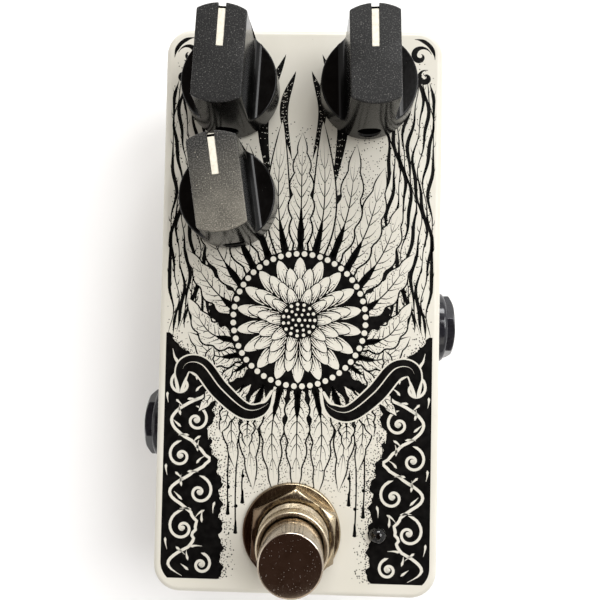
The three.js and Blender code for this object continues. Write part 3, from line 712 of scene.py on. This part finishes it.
def scoop(side):
    """The cutter that leaves the bar standing on one side of the knob."""
    floor, fillet = KNOB.rim_height, KNOB.fillet
    low, top = KNOB.bar_low, KNOB.bar_top
    outline = [(12, 20), (12, floor - 0.15)]
    outline += arc((low + fillet, floor + fillet), fillet, 270, 180, 8)
    outline += [(top - 0.03, 20)]
    made = prism([(x * side, y) for x, y in outline], -12, 12)
    return move(made, spin("X", 90))


def knob(body, name):
    solid = lathe([
        (0, KNOB.bottom), (KNOB.base, KNOB.bottom), (KNOB.rim, KNOB.rim_height),
        (KNOB.top_radius, KNOB.top), (0, KNOB.top),
    ], 120, start=TAU / 240)
    cut(solid, scoop(1), scoop(-1))
    bevel(solid, 0.24, 3)
    recess = lathe([
        (0, 0), (6.6, 0), (6.6, 2.4), (4.42, 2.4), (4.42, 6.42), (3.2, 6.42), (3.2, 10.6), (0, 10.6),
    ], 64)
    hole = rod(1.9, 3.5, 10, 40)
    lip = lathe([(0, 7.75), (1.85, 7.75), (2.15, 8.05), (2.15, 9), (0, 9)], 40)
    for cutter in (hole, lip):
        move(move(cutter, spin("X", 90)), shift(z=KNOB.screw_height))
    groove = box((-0.6, 0.6), (0.9, 10), (16.15, 20))
    end_groove = box((-0.6, 0.6), (7.19, 10), (7, 20))
    cut(solid, recess, hole, lip, groove, end_groove)
    # The lower left knob takes the top with the painted highlight and painted dark reflection.
    solid.data.materials.append(MATERIALS["knob_wear_and_painted_sheen" if body == WEAR_AND_SHEEN_KNOB else "knob_plastic"])
    solid.data.materials.append(MATERIALS["knob_gloss"])
    for polygon in solid.data.polygons:
        polygon.material_index = 0 if polygon.center.z > (KNOB.top - 0.17) * MM else 1
    on_dial(solid, body)
    finish(solid, "dial_cap_" + name, "knob_plastic", "knob_" + name, body=body)


def dial_line(body, name):
    """The white fill of the groove. It stops short of the bar's end and starts again below it."""
    half, skin = 0.56, 0.28
    low, out = KNOB.top - 0.42, KNOB.top_radius - 0.42
    top = rounded([(1.0, low), (6.75, low), (6.75, low + skin, 0.12), (1.0, low + skin, 0.12)])
    end = rounded([(out, KNOB.rim_height + 1.1), (out, low - 0.5), (out + skin, low - 0.5, 0.1),
                   (out + skin, KNOB.rim_height + 1.1, 0.1)])
    for part, outline, nodes in (("line", top, [f"knob_{name}_pointer"]), ("end_line", end, [])):
        fill = loft([[(x, y, z) for y, z in outline] for x in (-half, half)])
        on_dial(bevel(fill, 0.05), body)
        finish(fill, f"dial_{part}_{name}", "white_fill", *nodes, body=body)


def on_dial(piece, body):
    """Moves a piece from a dial's own frame, on the face and unturned, to its place."""
    x, y = DIAL_PLACES[body]
    return move(move(piece, spin("Z", DIAL_TURNS[body])), shift(x, y, FACE))


# ---- footswitch

# Radii and heights above the face, the nut's width across flats and its turn in degrees.
FOOT = SimpleNamespace(
    washer=8.45, washer_hole=6.55, washer_top=0.9, nut_flats=14.0, nut_top=3.3,
    nut_turn=27.5, bush=5.95, bore=5.15, neck=5.5, bush_top=8.2, bush_bottom=-5.15,
    button=5.0, button_top=14.8,
)


def threaded(radius, low, high, plain_top):
    """Rings of a thread's outer surface, fading out at both ends."""
    pitch, depth, rows = 0.75, 0.3, 8
    rings = []
    count = int((high - low) / pitch * rows)
    for i in range(count + 1):
        z = low + (high - low) * i / count
        fade = min(1.0, (z - low) / 0.3, (plain_top - z) / 0.5)
        ring = []
        for k in range(ROUND):
            phase = (z / pitch - k / ROUND) % 1.0
            crest = min(1.0, max(0.0, 1.25 - 2.6 * abs(phase - 0.5)))
            r = radius - depth * (1 - crest) * max(0.0, fade)
            angle = TAU * k / ROUND
            ring.append((r * cos(angle), r * sin(angle), z))
        rings.append(ring)
    return rings


def circle(radius, z):
    return [(radius * cos(TAU * k / ROUND), radius * sin(TAU * k / ROUND), z)
            for k in range(ROUND)]


def foot_bushing():
    top, rim, neck = FOOT.bush_top, FOOT.bush, FOOT.neck
    collar, edge = top - 1.5, 0.35
    rings = threaded(rim, FOOT.bush_bottom, collar - 0.6, collar - 0.5)
    rings += [circle(neck, collar - 0.5), circle(neck, collar - 0.1), circle(rim, collar + 0.1)]
    rings += [circle(rim - edge + a, top - edge + b) for a, b in arc((0, 0), edge, 0, 90, 5)]
    piece = loft(rings)
    bore = lathe([(0, -7), (FOOT.bore, -7), (FOOT.bore, top - 0.25), (FOOT.bore + 0.25, top + 0.01),
                  (FOOT.bore + 0.25, top + 1), (0, top + 1)])
    return cut(piece, bore)


def foot_button():
    top, radius = FOOT.button_top, FOOT.button
    edge = 0.34
    dome = [(r, top - 0.06 * (r / radius) ** 2) for r in (1.5, 3.0, radius - edge)]
    profile = [(0, -8), (5.4, -8), (5.4, -5.5), (radius, -5.5), (radius, top - edge - 0.12)]
    profile += [(radius - edge + a, top - edge - 0.06 + b) for a, b in arc((0, 0), edge, 0, 90, 6)[1:]]
    profile += list(reversed(dome[:-1])) + [(0, top)]
    return cut(lathe(profile), rod(3.1, -9, 1))


def foot_body():
    half = 8.5
    case = slab(half, half, 0.9, [(-21.5, 0.3), (-21.2, 0), (-5.5, 0), (-5.2, 0.3)])
    cut(case, rod(5.7, -18, -4))
    slots = [box((-10, 10), (y - 1.2, y + 1.2), (-21, -19.8)) for y in (-5.5, 5.5)]
    return join(cut(case, *slots), rod(2.2, -18.5, -14.5, 32))


def helix(radius, wire, low, high, turns):
    """A round wire wound about Z, as rings along its own path."""
    steps, sides = 28, 10
    rings = []
    count = int(turns * steps)
    rise = (high - low) / count
    for i in range(count + 1):
        angle = TAU * i / steps
        out = Vector((cos(angle), sin(angle), 0))
        along = Vector((
            -sin(angle) * radius * TAU / steps, cos(angle) * radius * TAU / steps, rise,
        ))
        up = along.normalized().cross(out)
        centre = out * radius + Vector((0, 0, low + rise * i))
        rings.append([tuple(centre + wire * (out * cos(t) - up * sin(t)))
                      for t in (TAU * k / sides for k in range(sides))])
    return loft(rings)


def footswitch():
    def add(piece, part, slot, **more):
        placed = move(piece, shift(SWITCH_X, SWITCH_Y, FACE))
        return finish(placed, "foot_" + part, slot, "footswitch_" + part, **more)

    hole = FOOT.bush + 0.12
    plate = washer(FOOT.washer_hole, FOOT.washer, 0.02, FOOT.washer_top, 0.1, 0.3)
    move(plate, shift(x=middle("footswitch_washer", 0) - SWITCH_X))
    # The washer and nut take the darker nickel with its painted dark reflection.
    add(plate, "washer", "nickel", look="nickel_painted_dark")
    nut = hex_nut(FOOT.nut_flats, hole, FOOT.washer_top + 0.02, FOOT.nut_top, FOOT.nut_turn,
                  edge=0.12, seat=0.15)
    add(nut, "nut", "nickel", look="nickel_painted_dark")
    lower = hex_nut(FOOT.nut_flats, hole, -4.8, -2.4, 0)
    add(lower, "lower_nut", "steel")
    add(foot_bushing(), "bushing", "nickel")
    add(foot_button(), "button", "nickel", body="plunger", look="mirror_cap")
    add(foot_body(), "body", "switch_plastic")
    low, high = span("footswitch_spring")
    wire = 0.45
    spring = helix(4.4, wire, low[2] - FACE + wire, high[2] - FACE - wire, 5)
    add(spring, "spring", "steel", angle=80)
    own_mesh(spring)


# ---- status light


def status_light():
    where = shift(LED_X, LED_Y, FACE)
    dome = arc((0, 0.5), 1.5, 0, 90, 12)
    lens = lathe([(0, -3.9), (1.9, -3.9), (1.9, -3), (1.5, -3), *dome[:-1], (0, 2.0)], 64)
    finish(move(lens, where), "light_lens", "lens", angle=45)
    frame_cup = lathe([(0, -1.6), (0.42, -1.6), (0.55, -0.9), (0.5, -0.9), (0.3, -1.25), (0, -1.25)], 32)
    post = box((-0.45, 0.3), (-0.25, 0.25), (-3.4, -1.5))
    anvil = box((0.5, 1.0), (-0.25, 0.25), (-3.4, -1.0))
    legs = [box((x - 0.25, x + 0.25), (-0.25, 0.25), (-25.15, -3.3)) for x in (-1.27, 1.27)]
    bridge = box((-1.52, -0.3), (-0.25, 0.25), (-3.5, -3.2))
    foot = box((0.6, 1.52), (-0.25, 0.25), (-3.5, -3.2))
    leads = join(frame_cup, post, anvil, bridge, foot, *legs)
    finish(move(leads, where), "light_leads", "steel", "status_led")


# ---- jacks and power inlet

# Radii and distances out from the box's middle, the nut's width across flats and its turn.
JACK = SimpleNamespace(
    bush=4.4, bore=3.25, collar=6.8, washer_in=24.95, washer_out=25.75, collar_out=27.9,
    out=29.4, flats=11.0, turn=44.0, front=22.35,
)


def side_jack(name, side):
    """One jack's outer hardware, made along +Z and turned to face out of its wall."""
    y, z = middle(name + "_jack_nut", 1), middle(name + "_jack_nut", 2)
    where = shift(0, y, z) @ spin("Z", 0 if side > 0 else 180) @ spin("Y", 90)

    def add(piece, part, slot):
        finish(move(piece, where), f"{name}_{part}", slot, f"{name}_jack_{part}")

    hole = JACK.bush + 0.12
    plate = washer(hole, JACK.collar, JACK.washer_in, JACK.washer_out, 0.12, 0.25)
    add(plate, "washer", "jack_plastic")
    collar = lathe(rounded([
        (0, 25.78), (JACK.collar, 25.78, 0.15), (JACK.collar, JACK.collar_out, 0.8),
        (0, JACK.collar_out),
    ], 6))
    nut = join(collar, hex_nut(JACK.flats, hole, JACK.collar_out - 0.5, JACK.out, JACK.turn, edge=0.15))
    cut(nut, rod(hole, 25, 31, 96))
    add(nut, "nut", "jack_gloss")
    bush = lathe(rounded([
        (JACK.bore, JACK.front), (6, JACK.front), (6, JACK.front + 0.2), (JACK.bush, JACK.front + 0.2),
        (JACK.bush, JACK.out - 0.2, 0.25), (JACK.bore, JACK.out - 0.2, 0.3),
    ]))
    add(bush, "bushing", "nickel")


def power_inlet():
    where = shift(0, 0, middle("dc_jack_nut", 2)) @ spin("X", -90)
    body = lathe(rounded([
        (0, 36), (5.9, 36, 0.3), (5.9, 46), (7, 46, 0.15), (7, 47.4, 0.15), (5.9, 47.4), (5.9, 52.9, 0.35),
        (0, 52.9),
    ]), 80)
    socket = lathe([(0, 41), (3.1, 41), (3.1, 52.5), (3.55, 53), (0, 53)], 64)
    cut(body, socket, rod(1.15, 38.9, 42, 32))
    tags = [box((x - 0.9, x + 0.9), (-0.3, 0.3), (34, 37)) for x in (-2.5, 2.5)]
    join(body, *tags)
    finish(move(body, where), "power_body", "jack_plastic", "dc_jack_housing")
    nut = hex_nut(14, 6.02, 50.05, 52.4, 30, edge=0.15)
    finish(move(nut, where), "power_nut", "jack_plastic", "dc_jack_nut")
    tip = [(1.05 - 0.5 + a, 47.8 + b) for a, b in arc((0, 0), 0.5, 0, 90, 5)]
    pin = lathe([(0, 39), (1.05, 39), *tip, (0, 48.3)], 40)
    finish(move(pin, where), "power_pin", "nickel", "dc_jack_pin")


def dress_cad_nodes():
    """Gives every CAD node that stays its procedural material."""
    for part in frame["record"]["subparts"]:
        for holder in frame["nodes"][part["node"]].material_slots:
            holder.material = MATERIALS[part["material_slot"]]


# ---- printed ornament

LAYER = 0.0025
SINK = 0.02
RANDOM = np.random.default_rng(11)
PRINT_EDGE = (23.2, 48.0)
PRINT_CORNER = 3.8
SIDES = (1, -1)
LOWEST_INK = -46.6
LIGHT_CLEARANCE = 2.1
HEART = np.array((0.0, -2.0))


class Ink:
    """Flat closed shapes of one ink. A shape on a higher level covers those below it."""

    def __init__(self):
        self.verts = []
        self.faces = []

    def strip(self, left, right, level, side=1):
        """Fills between two edges that have as many points. side -1 mirrors it across x = 0."""
        if side < 0:
            left, right = right * (-1, 1), left * (-1, 1)
        first, count = len(self.verts), len(left)
        top, low = FACE + LAYER * (level + 1), FACE - SINK
        for (lx, ly), (rx, ry) in zip(left, right):
            self.verts += [(lx, ly, top), (rx, ry, top), (lx, ly, low), (rx, ry, low)]
        for i in range(count - 1):
            a = first + 4 * i
            b = a + 4
            self.faces += [(a + 1, b + 1, b, a), (a + 2, b + 2, b + 3, a + 3),
                           (a, b, b + 2, a + 2), (a + 3, b + 3, b + 1, a + 1)]
        end = first + 4 * (count - 1)
        self.faces += [(first, first + 2, first + 3, first + 1), (end + 1, end + 3, end + 2, end)]

    def stroke(self, points, width, level, side=1, ends=(0.25, 0.25)):
        """A line whose width is a number or one per point, thinned towards its ends."""
        t = np.linspace(0, 1, len(points))
        start, stop = (np.clip(s / max(e, 1e-6), 0.12, 1) for s, e in zip((t, 1 - t), ends))
        half = 0.5 * np.asarray(width) * start * stop
        self.strip(*edges(points, half), level, side)

    def blob(self, centre, radius, level, side=1, sides=5, turn=0.0):
        """A round or many-sided dot."""
        first = len(self.verts)
        top, low = FACE + LAYER * (level + 1), FACE - SINK
        for z in (top, low):
            for k in range(sides):
                angle = turn + TAU * k / sides
                x = centre[0] + radius * cos(angle)
                self.verts.append((x * side, centre[1] + radius * sin(angle), z))
        ring = list(range(sides))
        walls = [(k, k + sides, (k + 1) % sides + sides, (k + 1) % sides) for k in ring]
        for face in [ring, [k + sides for k in reversed(ring)], *walls]:
            face = [first + k for k in face]
            self.faces.append(face if side > 0 else face[::-1])

    def piece(self):
        made = bpy.data.meshes.new("print")
        made.from_pydata([(x * MM, y * MM, z * MM) for x, y, z in self.verts], [], self.faces)
        return add_object("print", made)


INK, DOTS, CREAM = Ink(), Ink(), Ink()


def smooth(points, count=28):
    """Points along a smooth curve through a few places."""
    given = np.array(points, float)
    padded = np.vstack([2 * given[0] - given[1], given, 2 * given[-1] - given[-2]])
    spans = len(given) - 1
    t = np.linspace(0, spans, count)
    k = np.minimum(t.astype(int), spans - 1)
    u = (t - k)[:, None]
    a, b, c, d = padded[k], padded[k + 1], padded[k + 2], padded[k + 3]
    return 0.5 * (2 * b + (c - a) * u + (2 * a - 5 * b + 4 * c - d) * u ** 2
                  + (3 * b - a - 3 * c + d) * u ** 3)


def normals_of(points):
    along = np.gradient(points, axis=0)
    along /= np.linalg.norm(along, axis=1)[:, None] + 1e-12
    return np.stack([-along[:, 1], along[:, 0]], axis=1)


def edges(points, half):
    """The left and right edges of a line with these half widths."""
    points = np.asarray(points, float)
    aside = normals_of(points) * np.reshape(half, (-1, 1))
    return points + aside, points - aside


def polar(centre, radius, angle):
    """Places at a distance and an angle in radians from a centre."""
    around = np.stack([np.cos(angle), np.sin(angle)], axis=-1)
    return np.asarray(centre) + np.expand_dims(radius, -1) * around


def spiral(centre, outer, inner, start, turns, count=40):
    t = np.linspace(0, 1, count)
    return polar(centre, outer * (inner / outer) ** t, radians(start) + TAU * turns * t)


def stipple(low, high, spacing, density, level, size=(0.07, 0.13), side=1):
    """Dots on a jittered grid, each kept with the chance that density(x, y) gives."""
    for y in np.arange(low[1], high[1], spacing * 0.87):
        for x in np.arange(low[0], high[0], spacing):
            dx, dy, chance, grow = RANDOM.random(4)
            px, py = x + spacing * dx, y + spacing * dy
            if chance < density(px, py):
                DOTS.blob((px, py), size[0] + (size[1] - size[0]) * grow, level, side, turn=dx * 3)


def shade(points, half, count, level, side=1, reach=0.85):
    """Dots over a leaf, crowded at its root and along its edges."""
    aside = normals_of(points)
    last = len(points) - 1
    for _ in range(count):
        i = int(reach * last * RANDOM.random() ** 1.7)
        across = (1 - 0.7 * RANDOM.random() ** 1.5) * (1 if RANDOM.random() < 0.5 else -1)
        spot = points[i] + aside[i] * half[i] * across * 0.92 + (RANDOM.random(2) - 0.5) * 0.3
        DOTS.blob(spot, 0.055 + 0.06 * RANDOM.random(), level, side)


def leaf(spine, width, level, side=1, lobes=0, veins=7, dots=170):
    """A cream leaf with an inked outline, a dark throat, midrib and veins, and stippled shade."""
    count, line = 37, 0.26
    points = smooth(spine, count)
    t = np.linspace(0, 1, count)
    half = 0.5 * width * np.sin(np.pi * t ** 0.8) ** 0.8
    if lobes:
        half *= 0.70 + 0.30 * np.abs(np.sin(np.pi * lobes * t))
    left, right = edges(points, half + 0.02)
    CREAM.strip(left, right, level, side)
    for edge in (left, right):
        INK.stroke(edge, line * (0.8 + 0.6 * (1 - t)), level + 0.5, side, ends=(0, 0.1))
    INK.stroke(points[:33], line * 1.3 * (1 - 0.7 * t[:33]), level + 0.5, side, ends=(0, 0.3))
    INK.stroke(points[:16], half[:16] * 1.3 * (1 - 2.2 * t[:16]), level + 0.5, side, ends=(0, 0))
    aside = normals_of(points)
    for k in range(veins):
        at = 0.06 + 0.76 * k / veins
        i = int(at * (count - 1))
        j = min(count - 1, i + 5)
        for hand in SIDES:
            reach = 0.9 if k % 2 else 0.78
            middle_point = points[i + 2] + aside[i + 2] * half[i + 2] * 0.42 * hand
            tip = points[j] + aside[j] * half[j] * reach * hand
            vein = smooth([points[i], middle_point, tip], 6)
            INK.stroke(vein, line * 0.9 * (1.25 - at), level + 0.5, side, ends=(0, 0.8))
    shade(points, half, dots, level + 0.5, side)


def petal(centre, angle, inner, outer, width, level):
    """A rounded petal pointing away from centre, hatched from its root."""
    hatches, line = 5, 0.2
    t = np.linspace(0, 1, 15)
    direction = np.array([cos(angle), sin(angle)])
    aside = np.array([-direction[1], direction[0]])
    reach = inner + (outer - inner) * t
    half = 0.5 * width * np.minimum(np.sqrt(np.clip(1 - t, 0, 1)) * 1.25, 1) * (0.55 + 0.45 * t) ** 0.6
    spine = np.array(centre) + reach[:, None] * direction
    left, right = spine + aside * half[:, None], spine - aside * half[:, None]
    CREAM.strip(left, right, level)
    INK.stroke(left, line, level + 0.5, ends=(0, 0))
    INK.stroke(right, line, level + 0.5, ends=(0, 0))
    for k in range(hatches):
        across = (k - (hatches - 1) / 2) / hatches
        length = 0.84 - 0.5 * (1 - abs(across) * 1.6) * (0.5 + 0.5 * (k % 2))
        stop = max(4, int(14 * length))
        hatch = spine[:stop + 1:2] + aside * (half[:stop + 1:2] * 1.7 * across)[:, None]
        INK.stroke(hatch, line * 1.25, level + 0.5, ends=(0, 0.9))
    shade(spine, half, 16, level + 0.5, reach=0.7)


def dahlia(centre, level):
    """The rosette in the middle: rings of petals round a beaded heart."""
    rings = [(18, 11.0, 8.2, 3.0), (16, 9.2, 6.4, 2.8), (13, 7.4, 4.6, 2.6), (10, 5.8, 3.2, 2.3)]
    for number, (count, outer, inner, width) in enumerate(rings):
        for half in (0, 1):
            for k in range(half, count, 2):
                angle = TAU * (k + 0.5 * (number % 2)) / count + pi / 2
                petal(centre, angle, inner * 0.8, outer, width, level)
            level += 1
    INK.blob(centre, 3.3, level, sides=40)
    for count, radius, size in ((15, 2.75, 0.3), (11, 1.9, 0.26), (6, 1.05, 0.24), (1, 0.0, 0.36)):
        for k in range(count):
            CREAM.blob(polar(centre, radius, TAU * k / count), size, level + 0.5, sides=12)
    return level + 1


def pearls(centre, radius, count, size, level):
    """A ring of beads, each with a crescent of shade."""
    for k in range(count):
        place = polar(centre, radius, TAU * (k + 0.5) / count)
        INK.blob(place, size + 0.13, level, sides=16)
        CREAM.blob(place + 0.04, size, level + 0.5, sides=16)


def band_inner(y):
    """Inner edge of the dark side bands: deep at the waist, wavy below."""
    knots_y = [-47.0, -43.4, -36.0, -29.4, -22.4, -14.5, -10.0, -5.8, -4.5]
    knots_x = [12.7, 12.6, 12.9, 13.1, 15.4, 13.6, 17.5, 21.6, 23.1]
    return float(np.interp(y, knots_y, knots_x)) + 0.35 * sin(y * 1.7) + 0.2 * sin(y * 4.1)


def band_outer(y):
    depth = (PRINT_CORNER - PRINT_EDGE[1]) - y
    if depth <= 0:
        return PRINT_EDGE[0]
    return PRINT_EDGE[0] - PRINT_CORNER + sqrt(max(PRINT_CORNER ** 2 - depth ** 2, 0.01))


def near_light(x, y):
    return hypot(x - LED_X, y - LED_Y) < LIGHT_CLEARANCE


def fringe(x, y):
    """Dots thin out inward from a band's edge."""
    away = band_inner(y) - x
    if away < -0.2 or near_light(x, y):
        return 0
    return max(0.0, 1 - away / 3.0) ** 1.7


def side_band(side):
    heights = np.linspace(-4.6, -PRINT_EDGE[1] + 1.0, 90)
    inner = np.array([(band_inner(y), y) for y in heights])
    outer = np.array([(band_outer(y), y) for y in heights])
    INK.strip(outer, inner, 0, side)
    stipple((9.5, -47), (22, -4), 0.34, fringe, 0, (0.07, 0.15), side)


def scroll_leaf(centre, radius, angle, hand, side):
    """A short leaf thrown outward by a scroll, if it stays on the dark band."""
    base = polar(centre, radius + 0.35, angle)
    tip = polar(centre, radius + 1.5, angle - hand * 0.45)
    inside = band_inner(tip[1]) + 0.5 < tip[0] < band_outer(tip[1]) - 0.4
    if inside and tip[1] > LOWEST_INK and not near_light(*tip):
        thorn = smooth([base, (base + tip) / 2 + 0.12, tip], 6)
        CREAM.stroke(thorn, 0.5, 1, side, ends=(0.2, 0.9))


def rinceau(side):
    """Cream scrollwork on a dark band: a waving stem with a scroll in each bay."""
    bay, top = 6.2, -7.4
    ys = np.linspace(top, LOWEST_INK, 80)
    low, high = (np.array([edge(y) for y in ys]) for edge in (band_inner, band_outer))
    low += 3.4 * np.exp(-((ys - LED_Y) / 2.8) ** 2)
    swing = np.maximum((high - low) / 2 - 1.3, 0.3) * np.cos((ys - top) * np.pi / bay)
    stem = np.stack([(low + high) / 2 + swing, ys], axis=1)
    CREAM.stroke(stem, 0.52, 1, side, ends=(0.05, 0.05))
    for k in range(6):
        y = top - bay * (k + 1)
        hand = 1 if k % 2 == 0 else -1
        half = (band_outer(y) - band_inner(y)) / 2
        radius = min(0.58 * half, y - LOWEST_INK)
        centre = np.array((band_outer(y) - (1 - hand * 0.3) * half, y))
        curl = spiral(centre, radius, 0.3, 90, -1.7 * hand)
        CREAM.stroke(curl, 0.48, 1, side, ends=(0.02, 0.3))
        CREAM.blob(centre, 0.4, 1, side, 12)
        for j in range(7):
            scroll_leaf(centre, radius, radians(90 - hand * (35 + 42 * j)), hand, side)


def branches(level):
    """Dark boughs that rise from the bands and sweep below the rosette, with leaves along them."""
    count = 60
    t = np.linspace(0, 1, count)
    bough = smooth([(20.6, -15.0), (20.0, -10.6), (17.0, -10.4), (13.4, -14.6), (9.0, -18.0),
                    (5.6, -17.2), (4.2, -14.4)], count)
    thick = 2.9 * np.sin(np.pi * t ** 0.8) ** 0.8 + 0.3
    hanging = ((26, (2.4, -5.2), 2.6), (33, (1.4, -5.8), 2.8), (41, (0.2, -6.2), 2.8))
    rising = ((24, (-0.6, 5.0), 2.4), (31, (-1.4, 4.8), 2.4), (38, (-1.4, 4.4), 2.2))
    for side in SIDES:
        for at, reach, width in hanging + rising:
            root = bough[at]
            bend = root + (0.3, 0.46 * reach[1])
            leaf([root, bend, root + reach], width, level - 2, side, lobes=3, veins=5, dots=60)
        CREAM.strip(*edges(bough, 0.5 * thick + 0.26), level, side)
        INK.stroke(bough, thick, level + 0.5, side, ends=(0.1, 0.2))
        CREAM.stroke(bough[8:52] + (-0.15, 0.3), 0.2, level + 1, side, ends=(0.3, 0.4))


def ground_edge(angle):
    """How far the dark ground behind the leaves reaches from the heart."""
    up = np.clip(np.sin(angle), 0, 1) ** 1.4
    down = np.clip(-np.sin(angle), 0, 1) ** 2
    return 15.2 + 8.8 * up + 5.6 * down


def ground(level):
    """The dark ground behind all the leaves, which breaks up into dots at its edge."""
    count = 260
    angle = np.linspace(0, TAU, count)
    reach = ground_edge(angle) + 0.6 * np.sin(angle * 23) + 0.3 * np.sin(angle * 61)
    INK.strip(polar(HEART, np.full(count, 8.0), angle), polar(HEART, reach, angle), level)

    def density(x, y):
        out = np.array((x, y)) - HEART
        away = np.hypot(*out) - ground_edge(atan2(out[1], out[0]))
        return 0 if away < -1 else 0.85 * max(0.0, 1 - away / 6.5) ** 1.8

    for side in SIDES:
        stipple((0, -30), (21, 32), 0.36, density, 0, (0.06, 0.13), side)


def palmette(level):
    """Tall leaves that rise from behind the rosette."""
    fan = [
        ([(8.0, -9), (12.0, -11.5), (16.4, -10.2)], 3.6), ([(9, -8), (14.5, -8.5), (19.4, -4.5)], 4.4),
        ([(9.5, -6), (15.5, -4.5), (19.6, 1.5)], 5.0), ([(9, -2), (15, 3), (20, 10)], 5.2),
        ([(8, 1), (14.2, 9.5), (17.6, 18.5)], 5.6), ([(6.5, 4), (11.6, 14), (14.6, 25)], 5.6),
        ([(4.5, 6), (8.2, 17), (9.6, 29)], 5.4),
    ]
    for side in SIDES:
        for k, (spine, width) in enumerate(fan):
            leaf(spine, width * 0.94, level + k, side, lobes=5, veins=8)
    level += len(fan)
    for side in SIDES:
        leaf([(1.8, 6), (4.0, 18), (3.6, 33)], 4.4, level, side, veins=9)
    leaf([(0, 7), (0, 20), (0, 31)], 4.6, level + 1, 1, lobes=6, veins=9)
    return level + 2


def plumes(side):
    """Two dark slender leaves beside the middle, between the upper controls, with pale flecks."""
    count = 30
    t = np.linspace(0, 1, count)
    pair = (([(5.2, 19), (7.0, 34), (3.2, 45)], 2.1), ([(1.8, 26), (3.4, 35), (1.4, 42)], 1.5))
    for places, width in pair:
        spine = smooth(places, count)
        thick = width * np.sin(np.pi * t ** 1.15) ** 0.9
        INK.stroke(spine, thick, 0, side, ends=(0, 0))
        for _ in range(70):
            i = int(4 + RANDOM.random() * 22)
            across = thick[i] * (RANDOM.random() - 0.5) * 0.8
            CREAM.blob(spine[i] + (across, 0.3 * RANDOM.random()), 0.08, 1, side)


def tresses(side):
    """Flowing strands down one side, from the upper corner to the band."""
    count = 60
    t = np.linspace(0, 1, count)
    for k in range(10):
        x = 14.6 + 0.93 * k
        ys = np.linspace(44.5 - 0.5 * k, -2 - 0.35 * k, count)
        wave = 0.75 * np.sin(ys * 0.30 + 0.55 * k) + 0.2 * np.sin(ys * 0.9 + 2 * k)
        line = np.stack([np.minimum(x + wave, 22.9), ys], axis=1)
        width = 0.16 + 0.5 * np.abs(np.sin(ys * 0.19 + 1.1 * k)) ** 2
        INK.stroke(line, width, 0, side, ends=(0.05, 0.05))
        for j in range(3, count - 4, 3):
            hand = 1 if (j // 3) % 2 else -1
            tick = line[j] + np.array([[0, 0], [0.32, 0.5], [0.42, 1.2]]) * (hand, 1)
            INK.stroke(smooth(tick, 4), 0.2 * t[j] + 0.1, 0, side, ends=(0, 0.8))
    stipple((0, 12), (15, 34), 0.42, lambda x, y: 0.30 * min(1, (34 - y) / 8), 0, side=side)
    stipple((15.5, -3), (22.8, 44), 0.42, lambda x, y: 0.16 + 0.12 * sin(y * 0.6 + x), 0, side=side)


def corner_scrolls(side):
    bend = (PRINT_EDGE[0] - PRINT_CORNER, PRINT_EDGE[1] - PRINT_CORNER)
    rim = np.array(arc(bend, PRINT_CORNER - 0.2, 0, 90, 14))
    INK.stroke(rim, 0.7, 1, side, ends=(0.3, 0.3))
    for centre, radius, start in (((20.4, 44.8), 2.0, 10), ((21.3, 41.0), 1.4, 70)):
        INK.stroke(spiral(centre, radius, 0.4, start, 1.15, 34), 1.0, 1, side, ends=(0.3, 0.4))


def pendant(level):
    """Leaves that hang below the rosette."""
    for side in SIDES:
        leaf([(9.4, -13.5), (11.4, -20), (10.6, -28.0)], 3.5, level, side, lobes=4, veins=7, dots=150)
        leaf([(6.0, -13.5), (8.2, -21), (7.4, -31.5)], 4.1, level + 1, side, lobes=4, veins=7, dots=190)
        leaf([(2.6, -12), (4.3, -21), (3.6, -32.5)], 4.4, level, side, lobes=5, veins=8, dots=220)
    leaf([(0, -12.5), (0, -21), (0, -32.0)], 4.6, level + 3, 1, lobes=5, veins=8, dots=220)
    return level + 4


def threads(side):
    """Beaded threads that hang beside the footswitch."""
    stipple((0, -35), (12.4, -22), 0.36, lambda x, y: 0.62 * min(1, (y + 35) / 7), 0, (0.06, 0.12), side)
    for x, top, bottom in ((9.2, -28, -33.4), (10.3, -25, -38.6), (11.7, -23, -35.4)):
        thread = smooth([(x, top), (x + 0.15, (top + bottom) / 2), (x, bottom)], 16)
        INK.stroke(thread, 0.26, 0, side, ends=(0, 0))
        drop = smooth([(x, bottom + 2.0), (x, bottom), (x, bottom - 0.6)], 10)
        INK.stroke(drop, 0.9 * np.linspace(0.3, 1, 10), 0, side, ends=(0, 0.15))
        INK.blob((x, bottom + 4.2), 0.32, 0, side, 10)


def printed_ornament():
    for draw in (tresses, side_band, rinceau, plumes, corner_scrolls, threads):
        for side in SIDES:
            draw(side)
    ground(2)
    level = palmette(4)
    level = pendant(level)
    branches(level)
    INK.blob(HEART, 12.3, level, sides=96)
    pearls(HEART, 11.55, 52, 0.5, level + 0.5)
    dahlia(HEART, level + 1)
    finish(INK.piece(), "face_print_ink", "face_ink")
    finish(DOTS.piece(), "face_print_dots", "face_ink")
    finish(CREAM.piece(), "face_print_cream", "powder_coat")


# ---- run

bpy.context.scene.view_settings.view_transform = "Standard"
make_camera()
make_floor()
make_lights()
make_world()
make_materials()
enclosure()
base_cover()
base_screws()
for body_name, control in CONTROLS.items():
    knob(body_name, control)
    dial_line(body_name, control)
footswitch()
status_light()
side_jack("input", 1)
side_jack("output", -1)
power_inlet()
dress_cad_nodes()
printed_ornament()
